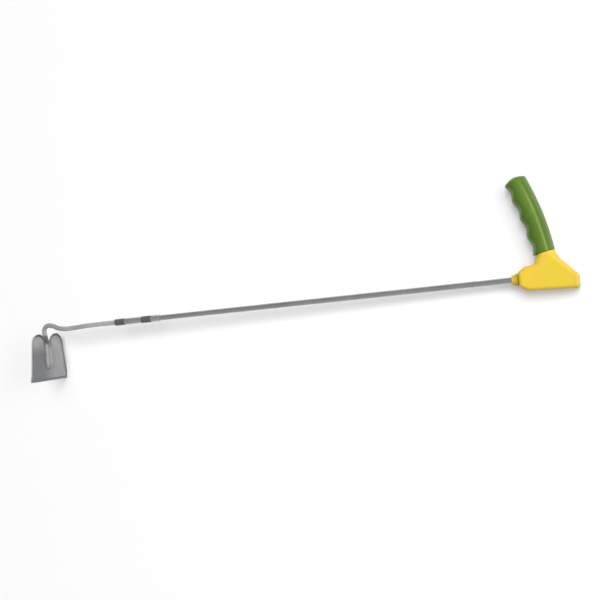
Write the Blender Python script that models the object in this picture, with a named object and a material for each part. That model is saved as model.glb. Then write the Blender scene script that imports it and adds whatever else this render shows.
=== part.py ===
"""One-handed long-reach garden hoe, modelled as separate pieces at real size, in metres.

The pieces are built in the tool's own frame: X runs along the shaft from the blade to the handle, Y points
from the shaft to the top of the grip, and Z is across the tool. X = 0 is the front of the handle's nose.
At the end the whole tool is laid on its side, on the three pieces that it really rests on.
"""
import math

import bmesh
import bpy
from mathutils import Matrix, Vector

for old_object in list(bpy.data.objects):
    bpy.data.objects.remove(old_object, do_unlink=True)

MM = 0.001

# Clearances
FIT = 0.3 * MM
PRESS_FIT = 0.2 * MM
SPLIT_GAP = 0.3 * MM

# Roundness of the turned pieces
ROUND_SIDES = 24
SMALL_SIDES = 16
SMOOTH_ANGLE = math.radians(40)

# Shaft: a steel tube, drawn down where it enters the joint sleeve
SHAFT_DIAMETER = 8.0 * MM
SHAFT_WALL = 1.0 * MM
SHAFT_SPIGOT_DIAMETER = 7.4 * MM
SHAFT_PAST_BRIDGE = 6.0 * MM
SHAFT_SHOULDER_LENGTH = 2.0 * MM

# Joint sleeve between the neck rod and the shaft, with its two locking rings
SLEEVE_REAR = -521.0 * MM
SLEEVE_LENGTH = 80.5 * MM
SLEEVE_DIAMETER = 10.0 * MM
SLEEVE_CHAMFER = 0.5 * MM
SPIGOT_DEPTH = 40.0 * MM
ROD_DEPTH = 37.0 * MM
RING_DIAMETER = 10.3 * MM
RING_WALL = 0.5 * MM
RING_LENGTH = 17.0 * MM
RING_BREAK_SHARE = 0.5
FRONT_RING_INSET = 2.2 * MM
REAR_RING_INSET = 14.5 * MM

# Neck rod: a round bar bent into a swan neck, its toe lying flat on the blade
ROD_DIAMETER = 7.4 * MM
ROD_SIDES = 16
NECK_STRAIGHT_END = -648.0 * MM
NECK_LEAD_IN = 12.0 * MM
DIP = (-691.0 * MM, -1.6 * MM)
RISE = (-708.0 * MM, 0.4 * MM)
CREST_REAR = (-720.0 * MM, 4.9 * MM)
CREST_FRONT = (-730.5 * MM, 6.2 * MM)
BEND_FRONT = (-736.8 * MM, 0.8 * MM)
BEND_LOW = (-737.4 * MM, -7.0 * MM)
THROUGH_NOTCH = (-735.2 * MM, -16.5 * MM)
LEAVE_NOTCH = (16.4 * MM, 2.6 * MM)
MEET_PLATE = (19.3 * MM, 3.65 * MM)
TOE_START = 22.3 * MM
TOE_FULL_END = 31.1 * MM
TOE_TO_CUTTING_EDGE = 17.5 * MM
TOE_STEPS = 8
TOE_TAPER = 11.0 * MM
TOE_TIP_DIAMETER = 3.4 * MM
PATH_STEPS = 5

# Blade: a pressed plate with two round lobes, hung nearly square to the shaft
BLADE_TOP = (-733.5 * MM, -6.1 * MM)
BLADE_LEAN = math.radians(0.6)
BLADE_HEIGHT = 74.9 * MM
BLADE_THICKNESS = 2.2 * MM
LOBE_RADIUS = 15.75 * MM
LOBE_SPACING = 41.0 * MM
SIDE_FLARE = math.radians(7.0)
NOTCH_STRAIGHT = 0.2 * MM
NOTCH_STEPS = 4
SIDE_SHARES = (0.25, 0.5, 0.75)
BLADE_CORNER_RADIUS = 1.6 * MM
LIP_WIDTH = 5.0 * MM
LIP_RISE = 1.3 * MM
LIP_MIDDLE_WIDTH_SHARE = 0.5
LIP_MIDDLE_RISE_SHARE = 0.35
LIP_START_SHARE = 0.45
LIP_FADE = 9.0 * MM
CUTTING_BEVEL = 4.5 * MM
CUTTING_EDGE = 0.6 * MM
LOBE_STEPS = 18

# Weld beads along both sides of the toe
BEAD_RADIUS = 0.95 * MM
BEAD_START = 2.5 * MM
BEAD_END = 4.0 * MM
BEAD_SCALLOP = 1.9 * MM
BEAD_SCALLOP_DEPTH = 0.12 * MM
BEAD_SPREAD = 0.72
BEAD_END_SHARE = 0.6
BEAD_SIDES = 8

# Handle nose
NOSE_TIP_RADIUS = 5.0 * MM
NOSE_FRONT_RADIUS = 6.0 * MM
NOSE_REAR_RADIUS = 7.9 * MM
NOSE_ROUNDING = 1.2 * MM
NOSE_REAR_BREAK_SHARE = 0.3
NOSE_LENGTH = 8.6 * MM
NOSE_GROOVE = 0.9 * MM
NOSE_SPIGOT_RADIUS = 6.2 * MM
NOSE_SPIGOT_LENGTH = 4.2 * MM

# Handle body: two moulded halves that meet on the tool's middle plane, closed by a cap at the rear
BODY_HALF_WIDTH = 14.0 * MM
BODY_WALL = 2.6 * MM
BODY_EDGE = 5.0 * MM
BODY_REAR = 76.8 * MM
BODY_REAR_BOTTOM = -17.6 * MM
BODY_REAR_TOP = 3.9 * MM
BODY_FRONT_HALF_HEIGHT = 8.9 * MM
BODY_FOOT_RADIUS = 1.5 * MM
BODY_BROW_RADIUS = 3.0 * MM
CHIN = (20.5 * MM, -15.4 * MM)
CHIN_RADIUS = 5.0 * MM
SHOULDER = (17.7 * MM, 14.9 * MM)
SHOULDER_RADIUS = 6.0 * MM
THROAT = (30.5 * MM, 16.8 * MM)
THROAT_RADIUS = 3.5 * MM
NAPE = (60.2 * MM, 21.3 * MM)
NAPE_RADIUS = 6.0 * MM
NECK_FRONT_ROUNDING = 10.0 * MM
NECK_REAR_ROUNDING = 9.0 * MM
NECK_FLAT_HEIGHT = 1.0 * MM
BRIDGE_FRONT = 33.0 * MM
BRIDGE_REAR = 46.0 * MM
CHAMBER_RADIUS = 1.2 * MM
CHAMBER_REAR_RUNOUT = 2.0 * MM
CUTTER_MARGIN = 1.0 * MM
BORE_LEAD = 3.0 * MM
BORE_RUNOUT = 6.0 * MM
LEAST_CORNER_RADIUS = 1.0 * MM
CORNER_STEPS = 4
EDGE_STEPS = 5

# Grip: its axis leaves the body leaning forward and bows gently to the rear
GRIP_FOOT = (43.2 * MM, 30.15 * MM)
GRIP_LENGTH = 99.0 * MM
GRIP_LEAN = math.radians(16.3)
GRIP_BOW = 2.1 * MM
GRIP_FRONT_DEPTH = 14.2 * MM
GRIP_REAR_DEPTH = 13.6 * MM
GRIP_PALM_SWELL = 1.3 * MM
GRIP_PALM_PLACE = 0.55
GRIP_HALF_WIDTH = 14.6 * MM
GRIP_WIDTH_SWELL = 0.5 * MM
GRIP_DOME = 3.4 * MM
GRIP_EDGE = 3.5 * MM
FINGER_GROOVES = 4
FINGER_GROOVE_DEPTH = 2.5 * MM
FINGER_GROOVE_FADE = (0.15, 0.8)
GRIP_SIDES = 28
GRIP_STEPS = 28
GRIP_EDGE_STEPS = 4
GRIP_DOME_SHARES = (0.65, 0.3)
NECK_FRONT_DEPTH = 10.6 * MM
NECK_REAR_DEPTH = 12.3 * MM

# Core stub of the two halves, inside the grip
CORE_DEPTH = 8.0 * MM
CORE_HALF_WIDTH = 8.4 * MM
CORE_LENGTH = 84.0 * MM
CORE_ROOT = 9.0 * MM
CORE_STEPS = 8
CORE_SIDES = 12

# Rear cap
CAP_THICKNESS = 4.2 * MM
CAP_ROUNDING = 1.8 * MM
CAP_ROUNDING_DEPTH_SHARE = 0.4
CAP_ROUNDING_INSET_SHARE = 0.3
CAP_SPIGOT_LENGTH = 5.0 * MM
CAP_SPIGOT_FOOT = 1.2 * MM
CAP_SPIGOT_DROP = 4.2 * MM
CAP_SPIGOT_RADIUS = 1.5 * MM
CAP_CORNER_RADIUS = 5.0 * MM

# Pin through the shaft and the plug that backs it
PIN_DIAMETER = 3.0 * MM
PIN_LENGTH = 20.0 * MM
PIN_CHAMFER = 0.4 * MM
PLUG_AHEAD_OF_PIN = 3.8 * MM

# Screws that hold the halves together, driven from the low side
SCREW_SHANK = 3.0 * MM
SCREW_HEAD = 5.8 * MM
SCREW_HEAD_THICKNESS = 2.4 * MM
SCREW_HEAD_SINK = 4.6 * MM
SCREW_REACH = 7.5 * MM
SCREW_DRIVE_DEPTH = 1.2 * MM
SCREW_DRIVE_ACROSS = 2.4 * MM
SCREW_DRIVE_WIDTH_SHARE = 0.28
SCREW_POINT_SHARE = 0.3
SCREW_PAN = ((0.0, 0.55), (0.3, 0.92), (0.6, 1.0), (1.0, 1.0))
BOSS_DIAMETER = 7.6 * MM
BOSS_INTO_ROOF = 0.8 * MM
SCREW_PLACES = (
    (23.5 * MM, 9.0 * MM),
    (56.0 * MM, 12.0 * MM),
    (67.0 * MM, -7.5 * MM),
)

# Laying the tool down
SETTLING_ROUNDS = 8

# Places that follow from the sizes
SLEEVE_FRONT = SLEEVE_REAR - SLEEVE_LENGTH
ROD_END = SLEEVE_FRONT + ROD_DEPTH
SPIGOT_END = SLEEVE_REAR - SPIGOT_DEPTH
BODY_FRONT = NOSE_LENGTH + NOSE_GROOVE
PIN_PLACE = (BRIDGE_FRONT + BRIDGE_REAR) / 2
SHAFT_REACH_IN_HANDLE = BRIDGE_REAR + SHAFT_PAST_BRIDGE
LOBE_CENTRE_DEPTH = LOBE_RADIUS
LOBE_OFFSET = LOBE_SPACING / 2
NOTCH_RADIUS = LOBE_OFFSET - LOBE_RADIUS
NOTCH_FLOOR = LOBE_CENTRE_DEPTH + NOTCH_STRAIGHT + NOTCH_RADIUS
TOE_END = BLADE_HEIGHT - TOE_TO_CUTTING_EDGE
RING_PLACES = (
    SLEEVE_FRONT + FRONT_RING_INSET,
    SLEEVE_REAR - REAR_RING_INSET - RING_LENGTH,
)
CAP_SPIGOT_TOP = BODY_REAR_TOP - CAP_SPIGOT_DROP


def material(name, colour, roughness, metallic):
    """A plain surface: linear colour, roughness and metallic value."""
    made = bpy.data.materials.new(name)
    made.use_nodes = True
    shader = made.node_tree.nodes["Principled BSDF"]
    shader.inputs["Base Color"].default_value = (*colour, 1.0)
    shader.inputs["Roughness"].default_value = roughness
    shader.inputs["Metallic"].default_value = metallic
    return made


TOOL = bpy.data.objects.new("tool_frame", None)
bpy.context.scene.collection.objects.link(TOOL)


def placed(name, mesh_data, finish):
    """Turns edited mesh data into an object of the tool, with its normals outward."""
    bmesh.ops.remove_doubles(mesh_data, verts=mesh_data.verts, dist=1e-7)
    bmesh.ops.recalc_face_normals(mesh_data, faces=mesh_data.faces)
    mesh = bpy.data.meshes.new(name)
    mesh_data.to_mesh(mesh)
    mesh_data.free()
    mesh.shade_smooth()
    mesh.set_sharp_from_angle(angle=SMOOTH_ANGLE)
    piece = bpy.data.objects.new(name, mesh)
    bpy.context.scene.collection.objects.link(piece)
    piece.parent = TOOL
    if finish:
        mesh.materials.append(finish)
    return piece


def ring_solid(name, rings, finish, closed_loop=False):
    """Skin over a row of point rings, capped at both ends or, for a bored piece, joined end to end."""
    mesh_data = bmesh.new()
    rows = [[mesh_data.verts.new(point) for point in ring] for ring in rings]
    pairs = list(zip(rows, rows[1:]))
    if closed_loop:
        pairs.append((rows[-1], rows[0]))
    for near, far in pairs:
        for i in range(len(near)):
            j = (i + 1) % len(near)
            mesh_data.faces.new((near[i], near[j], far[j], far[i]))
    if not closed_loop:
        mesh_data.faces.new(reversed(rows[0]))
        mesh_data.faces.new(rows[-1])
    return placed(name, mesh_data, finish)


def circle(centre, radius, first, second, sides, radius_second=None):
    """Points round a centre, in the plane of two directions; an ellipse if a second radius is given."""
    other = radius if radius_second is None else radius_second
    turns = [2 * math.pi * k / sides for k in range(sides)]
    return [centre + first * radius * math.cos(t) + second * other * math.sin(t) for t in turns]


ALONG = Vector((1, 0, 0))
UP_GRIP = Vector((0, 1, 0))
ACROSS = Vector((0, 0, 1))


def turned(name, profile, finish, closed_loop=False, sides=ROUND_SIDES):
    """A piece turned about the shaft's axis from its (place, radius) profile."""
    rings = [circle(ALONG * place, radius, UP_GRIP, ACROSS, sides) for place, radius in profile]
    return ring_solid(name, rings, finish, closed_loop)


def turned_across(name, place, profile, finish, sides=SMALL_SIDES):
    """A piece turned about an axis across the tool, through place, from its (height, radius) profile."""
    foot = Vector((place[0], place[1], 0))
    rings = [circle(foot + ACROSS * height, radius, ALONG, UP_GRIP, sides) for height, radius in profile]
    return ring_solid(name, rings, finish)


def helper(piece):
    """Marks a shape that only cuts or joins another."""
    piece.hide_render = True
    piece.display_type = "WIRE"
    return piece


def boolean(piece, operation, other):
    """Cuts the other shape from a piece, or joins it."""
    modifier = piece.modifiers.new(other.name, "BOOLEAN")
    modifier.operation = operation
    modifier.solver = "EXACT"
    modifier.object = helper(other)


def smooth_path(points, steps):
    """Points of a smooth curve through the given ones: each stretch is a cubic with the neighbours' chords
    as its end tangents."""
    padded = [2 * points[0] - points[1], *points, 2 * points[-1] - points[-2]]
    path = []
    for before, start, end, after in zip(padded, padded[1:], padded[2:], padded[3:]):
        reach = (end - start).length
        leave = (end - before) / (end - before).length * reach
        arrive = (after - start) / (after - start).length * reach
        for k in range(steps):
            t = k / steps
            path.append(
                start * (2 * t**3 - 3 * t**2 + 1)
                + leave * (t**3 - 2 * t**2 + t)
                + end * (3 * t**2 - 2 * t**3)
                + arrive * (t**3 - t**2)
            )
    path.append(points[-1].copy())
    return path


def tangents(path):
    """Unit direction of a path at each of its points."""
    ends = [path[0], *path, path[-1]]
    return [(after - before).normalized() for before, after in zip(ends, ends[2:])]


def swept(name, path, radii, finish, sides):
    """A round bar along a path in the tool's middle plane, with a radius at each point."""
    rings = []
    for centre, direction, radius in zip(path, tangents(path), radii):
        rings.append(circle(centre, radius, ACROSS.cross(direction), ACROSS, sides))
    return ring_solid(name, rings, finish)


# Blade frame: down the plate, out of the plate towards the handle, and across
BLADE_DOWN = Vector((-math.sin(BLADE_LEAN), -math.cos(BLADE_LEAN), 0))
BLADE_OUT = Vector((math.cos(BLADE_LEAN), -math.sin(BLADE_LEAN), 0))
BLADE_ORIGIN = Vector((BLADE_TOP[0], BLADE_TOP[1], 0))


def on_blade(down, out, across):
    """Point at a depth down the plate, a height out of its handle side and a place across it."""
    return BLADE_ORIGIN + BLADE_DOWN * down + BLADE_OUT * out + ACROSS * across


def fade(value, start, end):
    """Smooth step from 0 at start to 1 at end."""
    t = min(max((value - start) / (end - start), 0), 1)
    return t * t * (3 - 2 * t)


def blade_outline(inset):
    """Half outline of the plate, moved inwards by inset, as (down, across) from the notch's floor over the
    lobe to the cutting edge."""
    points = []
    notch = NOTCH_RADIUS + inset
    for k in range(NOTCH_STEPS + 1):
        turn = math.pi / 2 * k / NOTCH_STEPS
        down = LOBE_CENTRE_DEPTH + NOTCH_STRAIGHT + notch * math.cos(turn)
        points.append((down, notch * math.sin(turn)))
    lobe = LOBE_RADIUS - inset
    for k in range(LOBE_STEPS + 1):
        turn = math.pi - (math.pi - SIDE_FLARE) * k / LOBE_STEPS
        points.append((LOBE_CENTRE_DEPTH - lobe * math.sin(turn), LOBE_OFFSET + lobe * math.cos(turn)))
    leave_down, leave_across = points[-1]
    bottom = BLADE_HEIGHT - inset
    slope = math.tan(SIDE_FLARE)
    for share in SIDE_SHARES:
        down = leave_down + (bottom - BLADE_CORNER_RADIUS - leave_down) * share
        points.append((down, leave_across + (down - leave_down) * slope))
    corner_across = leave_across + (bottom - leave_down) * slope
    radius = BLADE_CORNER_RADIUS
    for k in range(CORNER_STEPS + 1):
        turn = math.pi / 2 * k / CORNER_STEPS
        down = bottom - radius + radius * math.sin(turn)
        points.append((down, corner_across - radius * (1 - math.cos(turn))))
    return points


def lip_share(index, down):
    """How much of the lip's height the plate has at a point of its outline."""
    if index <= NOTCH_STEPS:
        return 0.0
    if index <= NOTCH_STEPS + LOBE_STEPS // 2:
        return fade(-down, -LOBE_CENTRE_DEPTH - NOTCH_STRAIGHT, -LOBE_CENTRE_DEPTH * LIP_START_SHARE)
    return fade(-down, -(BLADE_HEIGHT - CUTTING_BEVEL), -(BLADE_HEIGHT - CUTTING_BEVEL - LIP_FADE))


def blade_ring(inset, rise, depth_out):
    """One closed ring of the plate's face, both halves, at a height out of the plate."""
    outline = blade_outline(inset)
    edge = blade_outline(0)
    half = []
    for index, (down, across) in enumerate(outline):
        out = depth_out + rise * lip_share(index, edge[index][0])
        half.append((down, across, out))
    other = [(down, -across, out) for down, across, out in reversed(half[1:])]
    return [on_blade(down, out, across) for down, across, out in half + other]


def build_blade(finish):
    """Pressed plate: flat in the middle, its rim curled towards the handle, its low edge ground."""
    middle = (LIP_WIDTH * LIP_MIDDLE_WIDTH_SHARE, LIP_RISE * LIP_MIDDLE_RISE_SHARE)
    levels = [(LIP_WIDTH, 0.0), middle, (0.0, LIP_RISE)]
    face = [blade_ring(inset, rise, 0.0) for inset, rise in levels]
    back = [blade_ring(inset, rise, -BLADE_THICKNESS) for inset, rise in reversed(levels)]
    blade = ring_solid("hoe_blade", face + back, finish)
    wide = 2 * (LOBE_OFFSET + LOBE_RADIUS + BLADE_HEIGHT)
    start = BLADE_HEIGHT - CUTTING_BEVEL
    slope = (BLADE_THICKNESS - CUTTING_EDGE) / CUTTING_BEVEL
    reach = BLADE_THICKNESS * 3
    wedge = [(start, 0.0), (start + reach / slope, -reach), (start + reach / slope, reach), (start, reach)]
    ends = []
    for across in (-wide / 2, wide / 2):
        ends.append([on_blade(down, out, across) for down, out in wedge])
    boolean(blade, "DIFFERENCE", ring_solid("bevel_cutter", ends, None))
    return blade


def toe_radius(down):
    """Radius of the rod where it lies on the blade, drawn down to its tip."""
    share = fade(down, TOE_END - TOE_TAPER, TOE_END)
    return ROD_DIAMETER / 2 + (TOE_TIP_DIAMETER - ROD_DIAMETER) / 2 * share


def rod_course():
    """Centre points of the neck rod and its radius at each."""
    bends = [DIP, RISE, CREST_REAR, CREST_FRONT, BEND_FRONT, BEND_LOW, THROUGH_NOTCH]
    lie = ROD_DIAMETER / 2 + FIT
    control = [Vector((NECK_STRAIGHT_END + NECK_LEAD_IN, 0, 0)), Vector((NECK_STRAIGHT_END, 0, 0))]
    control += [Vector((u, v, 0)) for u, v in bends]
    for down, out in (LEAVE_NOTCH, MEET_PLATE, (TOE_START, lie), (TOE_FULL_END, lie)):
        control.append(on_blade(down, out, 0))
    path = [Vector((ROD_END, 0, 0))] + smooth_path(control, PATH_STEPS)
    radii = [ROD_DIAMETER / 2] * len(path)
    for k in range(1, TOE_STEPS + 1):
        down = TOE_FULL_END + (TOE_END - TOE_FULL_END) * k / TOE_STEPS
        radius = toe_radius(down)
        path.append(on_blade(down, radius + FIT, 0))
        radii.append(radius)
    return path, radii


def build_weld_bead(name, side, finish):
    """Fillet of weld in the corner between the rod's toe and the plate, with shallow scallops."""
    start = NOTCH_FLOOR + BEAD_START
    end = TOE_END - BEAD_END
    count = 2 * round((end - start) / BEAD_SCALLOP) + 1
    path = []
    radii = []
    for k in range(count):
        down = start + (end - start) * k / (count - 1)
        across = toe_radius(down) + BEAD_RADIUS * BEAD_SPREAD
        path.append(on_blade(down, BEAD_RADIUS + FIT, side * across))
        radii.append(BEAD_RADIUS - (BEAD_SCALLOP_DEPTH if k % 2 else 0))
    radii[0] = radii[-1] = BEAD_RADIUS * BEAD_END_SHARE
    rings = []
    for centre, radius in zip(path, radii):
        rings.append(circle(centre, radius, BLADE_OUT, ACROSS, BEAD_SIDES))
    return ring_solid(name, rings, finish)


def build_sleeve(finish):
    """Joint sleeve: one bore for rod and spigot, shallow grooves for the two locking rings."""
    outer = SLEEVE_DIAMETER / 2
    groove = RING_DIAMETER / 2 - RING_WALL - PRESS_FIT
    bore = ROD_DIAMETER / 2 + PRESS_FIT
    chamfered = outer - SLEEVE_CHAMFER
    profile = [(SLEEVE_FRONT, bore), (SLEEVE_FRONT, chamfered), (SLEEVE_FRONT + SLEEVE_CHAMFER, outer)]
    for ring_front in RING_PLACES:
        profile += [
            (ring_front - FIT, outer),
            (ring_front - FIT, groove),
            (ring_front + RING_LENGTH + FIT, groove),
            (ring_front + RING_LENGTH + FIT, outer),
        ]
    profile += [(SLEEVE_REAR - SLEEVE_CHAMFER, outer), (SLEEVE_REAR, chamfered), (SLEEVE_REAR, bore)]
    return turned("joint_sleeve", profile, finish, closed_loop=True)


def build_locking_ring(name, front, finish):
    """Ring pressed into its groove of the sleeve, its edges broken."""
    outer = RING_DIAMETER / 2
    inner = outer - RING_WALL
    broken = RING_WALL * RING_BREAK_SHARE
    rear = front + RING_LENGTH
    profile = [
        (front, inner),
        (front, outer - broken),
        (front + broken, outer),
        (rear - broken, outer),
        (rear, outer - broken),
        (rear, inner),
    ]
    return turned(name, profile, finish, closed_loop=True)


def build_shaft(finish):
    """Shaft tube with its drawn-down spigot, and a cross hole for the pin in the handle."""
    outer = SHAFT_DIAMETER / 2
    spigot = SHAFT_SPIGOT_DIAMETER / 2
    bore = outer - SHAFT_WALL
    spigot_bore = spigot - SHAFT_WALL
    shoulder = SLEEVE_REAR + FIT
    profile = [
        (SPIGOT_END, spigot_bore),
        (SPIGOT_END, spigot),
        (shoulder, spigot),
        (shoulder + (outer - spigot), outer),
        (SHAFT_REACH_IN_HANDLE, outer),
        (SHAFT_REACH_IN_HANDLE, bore),
        (shoulder + SHAFT_SHOULDER_LENGTH, bore),
        (shoulder, spigot_bore),
    ]
    shaft = turned("shaft_tube", profile, finish, closed_loop=True)
    boolean(shaft, "DIFFERENCE", pin_hole("shaft_pin_hole"))
    return shaft


def pin_hole(name):
    """Cutter for the hole that the cross pin passes through."""
    radius = PIN_DIAMETER / 2 + FIT
    return turned_across(name, (PIN_PLACE, 0), [(-PIN_LENGTH, radius), (PIN_LENGTH, radius)], None)


def build_plug(finish):
    """Round plug in the shaft's end, so that the cross pin can't crush the tube."""
    radius = SHAFT_DIAMETER / 2 - SHAFT_WALL - PRESS_FIT
    rear = SHAFT_REACH_IN_HANDLE - FIT
    front = PIN_PLACE - PLUG_AHEAD_OF_PIN
    chamfer = PIN_CHAMFER
    profile = [(front, radius - chamfer), (front + chamfer, radius)]
    profile += [(rear - chamfer, radius), (rear, radius - chamfer)]
    plug = turned("shaft_end_plug", profile, finish)
    boolean(plug, "DIFFERENCE", pin_hole("plug_pin_hole"))
    return plug


def build_pin(finish):
    """Pin across the shaft, held in both handle halves."""
    radius = PIN_DIAMETER / 2
    half = PIN_LENGTH / 2
    profile = [(-half, radius - PIN_CHAMFER), (-half + PIN_CHAMFER, radius)]
    profile += [(half - PIN_CHAMFER, radius), (half, radius - PIN_CHAMFER)]
    return turned_across("shaft_cross_pin", (PIN_PLACE, 0), profile, finish)


def build_nose(finish):
    """Nose collar: a tapered bush round the shaft, its spigot held in the front of the body."""
    bore = SHAFT_DIAMETER / 2 + PRESS_FIT
    profile = [
        (0, bore),
        (0, NOSE_TIP_RADIUS),
        (NOSE_ROUNDING, NOSE_FRONT_RADIUS),
        (NOSE_LENGTH - NOSE_ROUNDING, NOSE_REAR_RADIUS),
        (NOSE_LENGTH, NOSE_REAR_RADIUS - NOSE_ROUNDING * NOSE_REAR_BREAK_SHARE),
        (NOSE_LENGTH, NOSE_SPIGOT_RADIUS),
        (BODY_FRONT + NOSE_SPIGOT_LENGTH - FIT, NOSE_SPIGOT_RADIUS),
        (BODY_FRONT + NOSE_SPIGOT_LENGTH - FIT, bore),
    ]
    return turned("nose_collar", profile, finish, closed_loop=True)


def grip_point(along):
    """Point of the grip's axis at a distance along its chord from the foot, bowed to the rear."""
    share = along / GRIP_LENGTH
    bow = 4 * GRIP_BOW * share * (1 - share)
    chord = Vector((-math.sin(GRIP_LEAN), math.cos(GRIP_LEAN), 0))
    rear = Vector((math.cos(GRIP_LEAN), math.sin(GRIP_LEAN), 0))
    return Vector((GRIP_FOOT[0], GRIP_FOOT[1], 0)) + chord * along + rear * bow


def grip_rear(along):
    """Direction square to the grip's axis, towards its rear side."""
    slope = 4 * GRIP_BOW / GRIP_LENGTH * (1 - 2 * along / GRIP_LENGTH)
    lean = GRIP_LEAN - math.atan(slope)
    return Vector((math.cos(lean), math.sin(lean), 0))


def grip_axis(along):
    """Direction of the grip's axis, towards its top."""
    return ACROSS.cross(grip_rear(along))


def rounded_outline(corners, steps):
    """Closed outline through (point, radius) corners, each rounded by an arc of the same number of steps."""
    outline = []
    count = len(corners)
    for k, (corner, radius) in enumerate(corners):
        before = (corners[k - 1][0] - corner).normalized()
        after = (corners[(k + 1) % count][0] - corner).normalized()
        half_angle = before.angle(after) / 2
        middle = (before + after).normalized()
        centre = corner + middle * (radius / math.sin(half_angle))
        start = corner + before * (radius / math.tan(half_angle)) - centre
        end = corner + after * (radius / math.tan(half_angle)) - centre
        for step in range(steps + 1):
            share = step / steps
            direction = (start * (1 - share) + end * share).normalized()
            outline.append(centre + direction * radius)
    return outline


def inset_corners(corners, insets):
    """Corners of the polygon with each edge moved inwards by its own distance; edge k leaves corner k."""
    lines = []
    count = len(corners)
    for k in range(count):
        start = corners[k][0]
        direction = (corners[(k + 1) % count][0] - start).normalized()
        inward = ACROSS.cross(direction)
        lines.append((start + inward * insets[k], direction))
    moved = []
    for k in range(count):
        (first, along_first), (second, along_second) = lines[k - 1], lines[k]
        turn = along_first.cross(along_second).z
        reach = (second - first).cross(along_second).z / turn
        radius = corners[k][1]
        if turn > 0:
            radius = max(radius - min(insets[k - 1], insets[k]), LEAST_CORNER_RADIUS)
        moved.append((first + along_first * reach, radius))
    return moved


def flat(point):
    """A named (place, height) pair as a point of the tool's middle plane."""
    return Vector((point[0], point[1], 0))


def body_corners():
    """Side outline of the handle body, counter-clockwise from its front foot, as (point, radius)."""
    neck_rear = flat(GRIP_FOOT) + grip_rear(0) * NECK_REAR_DEPTH
    neck_front = flat(GRIP_FOOT) - grip_rear(0) * NECK_FRONT_DEPTH
    return [
        (Vector((BODY_FRONT, -BODY_FRONT_HALF_HEIGHT, 0)), BODY_FOOT_RADIUS),
        (flat(CHIN), CHIN_RADIUS),
        (Vector((BODY_REAR, BODY_REAR_BOTTOM, 0)), FIT),
        (Vector((BODY_REAR, BODY_REAR_TOP, 0)), FIT),
        (flat(NAPE), NAPE_RADIUS),
        (neck_rear, FIT),
        (neck_front, FIT),
        (flat(THROAT), THROAT_RADIUS),
        (flat(SHOULDER), SHOULDER_RADIUS),
        (Vector((BODY_FRONT, BODY_FRONT_HALF_HEIGHT, 0)), BODY_BROW_RADIUS),
    ]


def body_half_solid(name, side, finish):
    """Outer form of one half: its rim is rounded over to a flat side, and it is fully round at the neck."""
    corners = body_corners()
    edge = BODY_EDGE
    insets = [edge, edge, 0.0, edge, NECK_REAR_ROUNDING, 0.0, NECK_FRONT_ROUNDING, edge, edge, edge]
    face_corners = inset_corners(corners, insets)
    low = BODY_HALF_WIDTH - edge
    starts = [low, low, low, low, low, NECK_FLAT_HEIGHT, NECK_FLAT_HEIGHT, low, low, low]
    outline = rounded_outline(corners, CORNER_STEPS)
    face = rounded_outline(face_corners, CORNER_STEPS)
    heights = [start for start in starts for _ in range(CORNER_STEPS + 1)]
    rings = [[point + ACROSS * side * SPLIT_GAP / 2 for point in outline]]
    for step in range(EDGE_STEPS + 1):
        turn = math.pi / 2 * step / EDGE_STEPS
        ring = []
        for rim, inner, start in zip(outline, face, heights):
            point = inner + (rim - inner) * math.cos(turn)
            height = start + (BODY_HALF_WIDTH - start) * math.sin(turn)
            ring.append(point + ACROSS * side * height)
        rings.append(ring)
    return ring_solid(name, rings, finish)


def prism(name, corners, low, high, side, finish=None):
    """Straight block over a rounded outline, between two heights on one side of the middle plane."""
    outline = rounded_outline(corners, CORNER_STEPS)
    rings = [[point + ACROSS * side * height for point in outline] for height in (low, high)]
    return ring_solid(name, rings, finish)


def chamber_corners():
    """Hollows of a half, in front of and behind the bridge round the shaft, as (point, radius) lists."""
    wall = BODY_WALL
    front = BODY_FRONT + NOSE_SPIGOT_LENGTH
    corners = body_corners()
    inner = inset_corners(corners, [wall] * len(corners))
    top = inner[8][0].y
    radius = CHAMBER_RADIUS
    ahead = [
        (Vector((front, -BODY_FRONT_HALF_HEIGHT + wall, 0)), radius),
        (Vector((inner[1][0].x, inner[1][0].y, 0)), radius),
        (Vector((BRIDGE_FRONT, inner[1][0].y, 0)), radius),
        (Vector((BRIDGE_FRONT, top, 0)), radius),
        (Vector((inner[8][0].x, top, 0)), radius),
        (Vector((front, BODY_FRONT_HALF_HEIGHT - wall, 0)), radius),
    ]
    past_rear = BODY_REAR + CHAMBER_REAR_RUNOUT
    step_back = BODY_REAR - CAP_SPIGOT_LENGTH - CHAMBER_REAR_RUNOUT
    behind = [
        (Vector((BRIDGE_REAR, inner[1][0].y, 0)), radius),
        (Vector((past_rear, inner[2][0].y, 0)), radius),
        (Vector((past_rear, CAP_SPIGOT_TOP + FIT, 0)), radius),
        (Vector((step_back, CAP_SPIGOT_TOP + FIT, 0)), radius),
        (Vector((NAPE[0] - wall, NAPE[1] - 2 * wall, 0)), radius),
        (Vector((BRIDGE_REAR, NAPE[1] - 2 * wall, 0)), radius),
    ]
    return ahead, behind


def core_half(name, side):
    """Half of the core stub that the grip is pushed over: half ellipses along the grip's axis."""
    rings = []
    for step in range(CORE_STEPS + 1):
        along = -CORE_ROOT + (CORE_LENGTH + CORE_ROOT) * step / CORE_STEPS
        centre = grip_point(along) + ACROSS * side * SPLIT_GAP / 2
        tall = CORE_HALF_WIDTH - SPLIT_GAP / 2
        ring = []
        for k in range(CORE_SIDES + 1):
            turn = math.pi * k / CORE_SIDES
            out = grip_rear(along) * CORE_DEPTH * math.cos(turn)
            ring.append(centre + out + ACROSS * side * tall * math.sin(turn))
        rings.append(ring)
    return ring_solid(name, rings, None)


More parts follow.
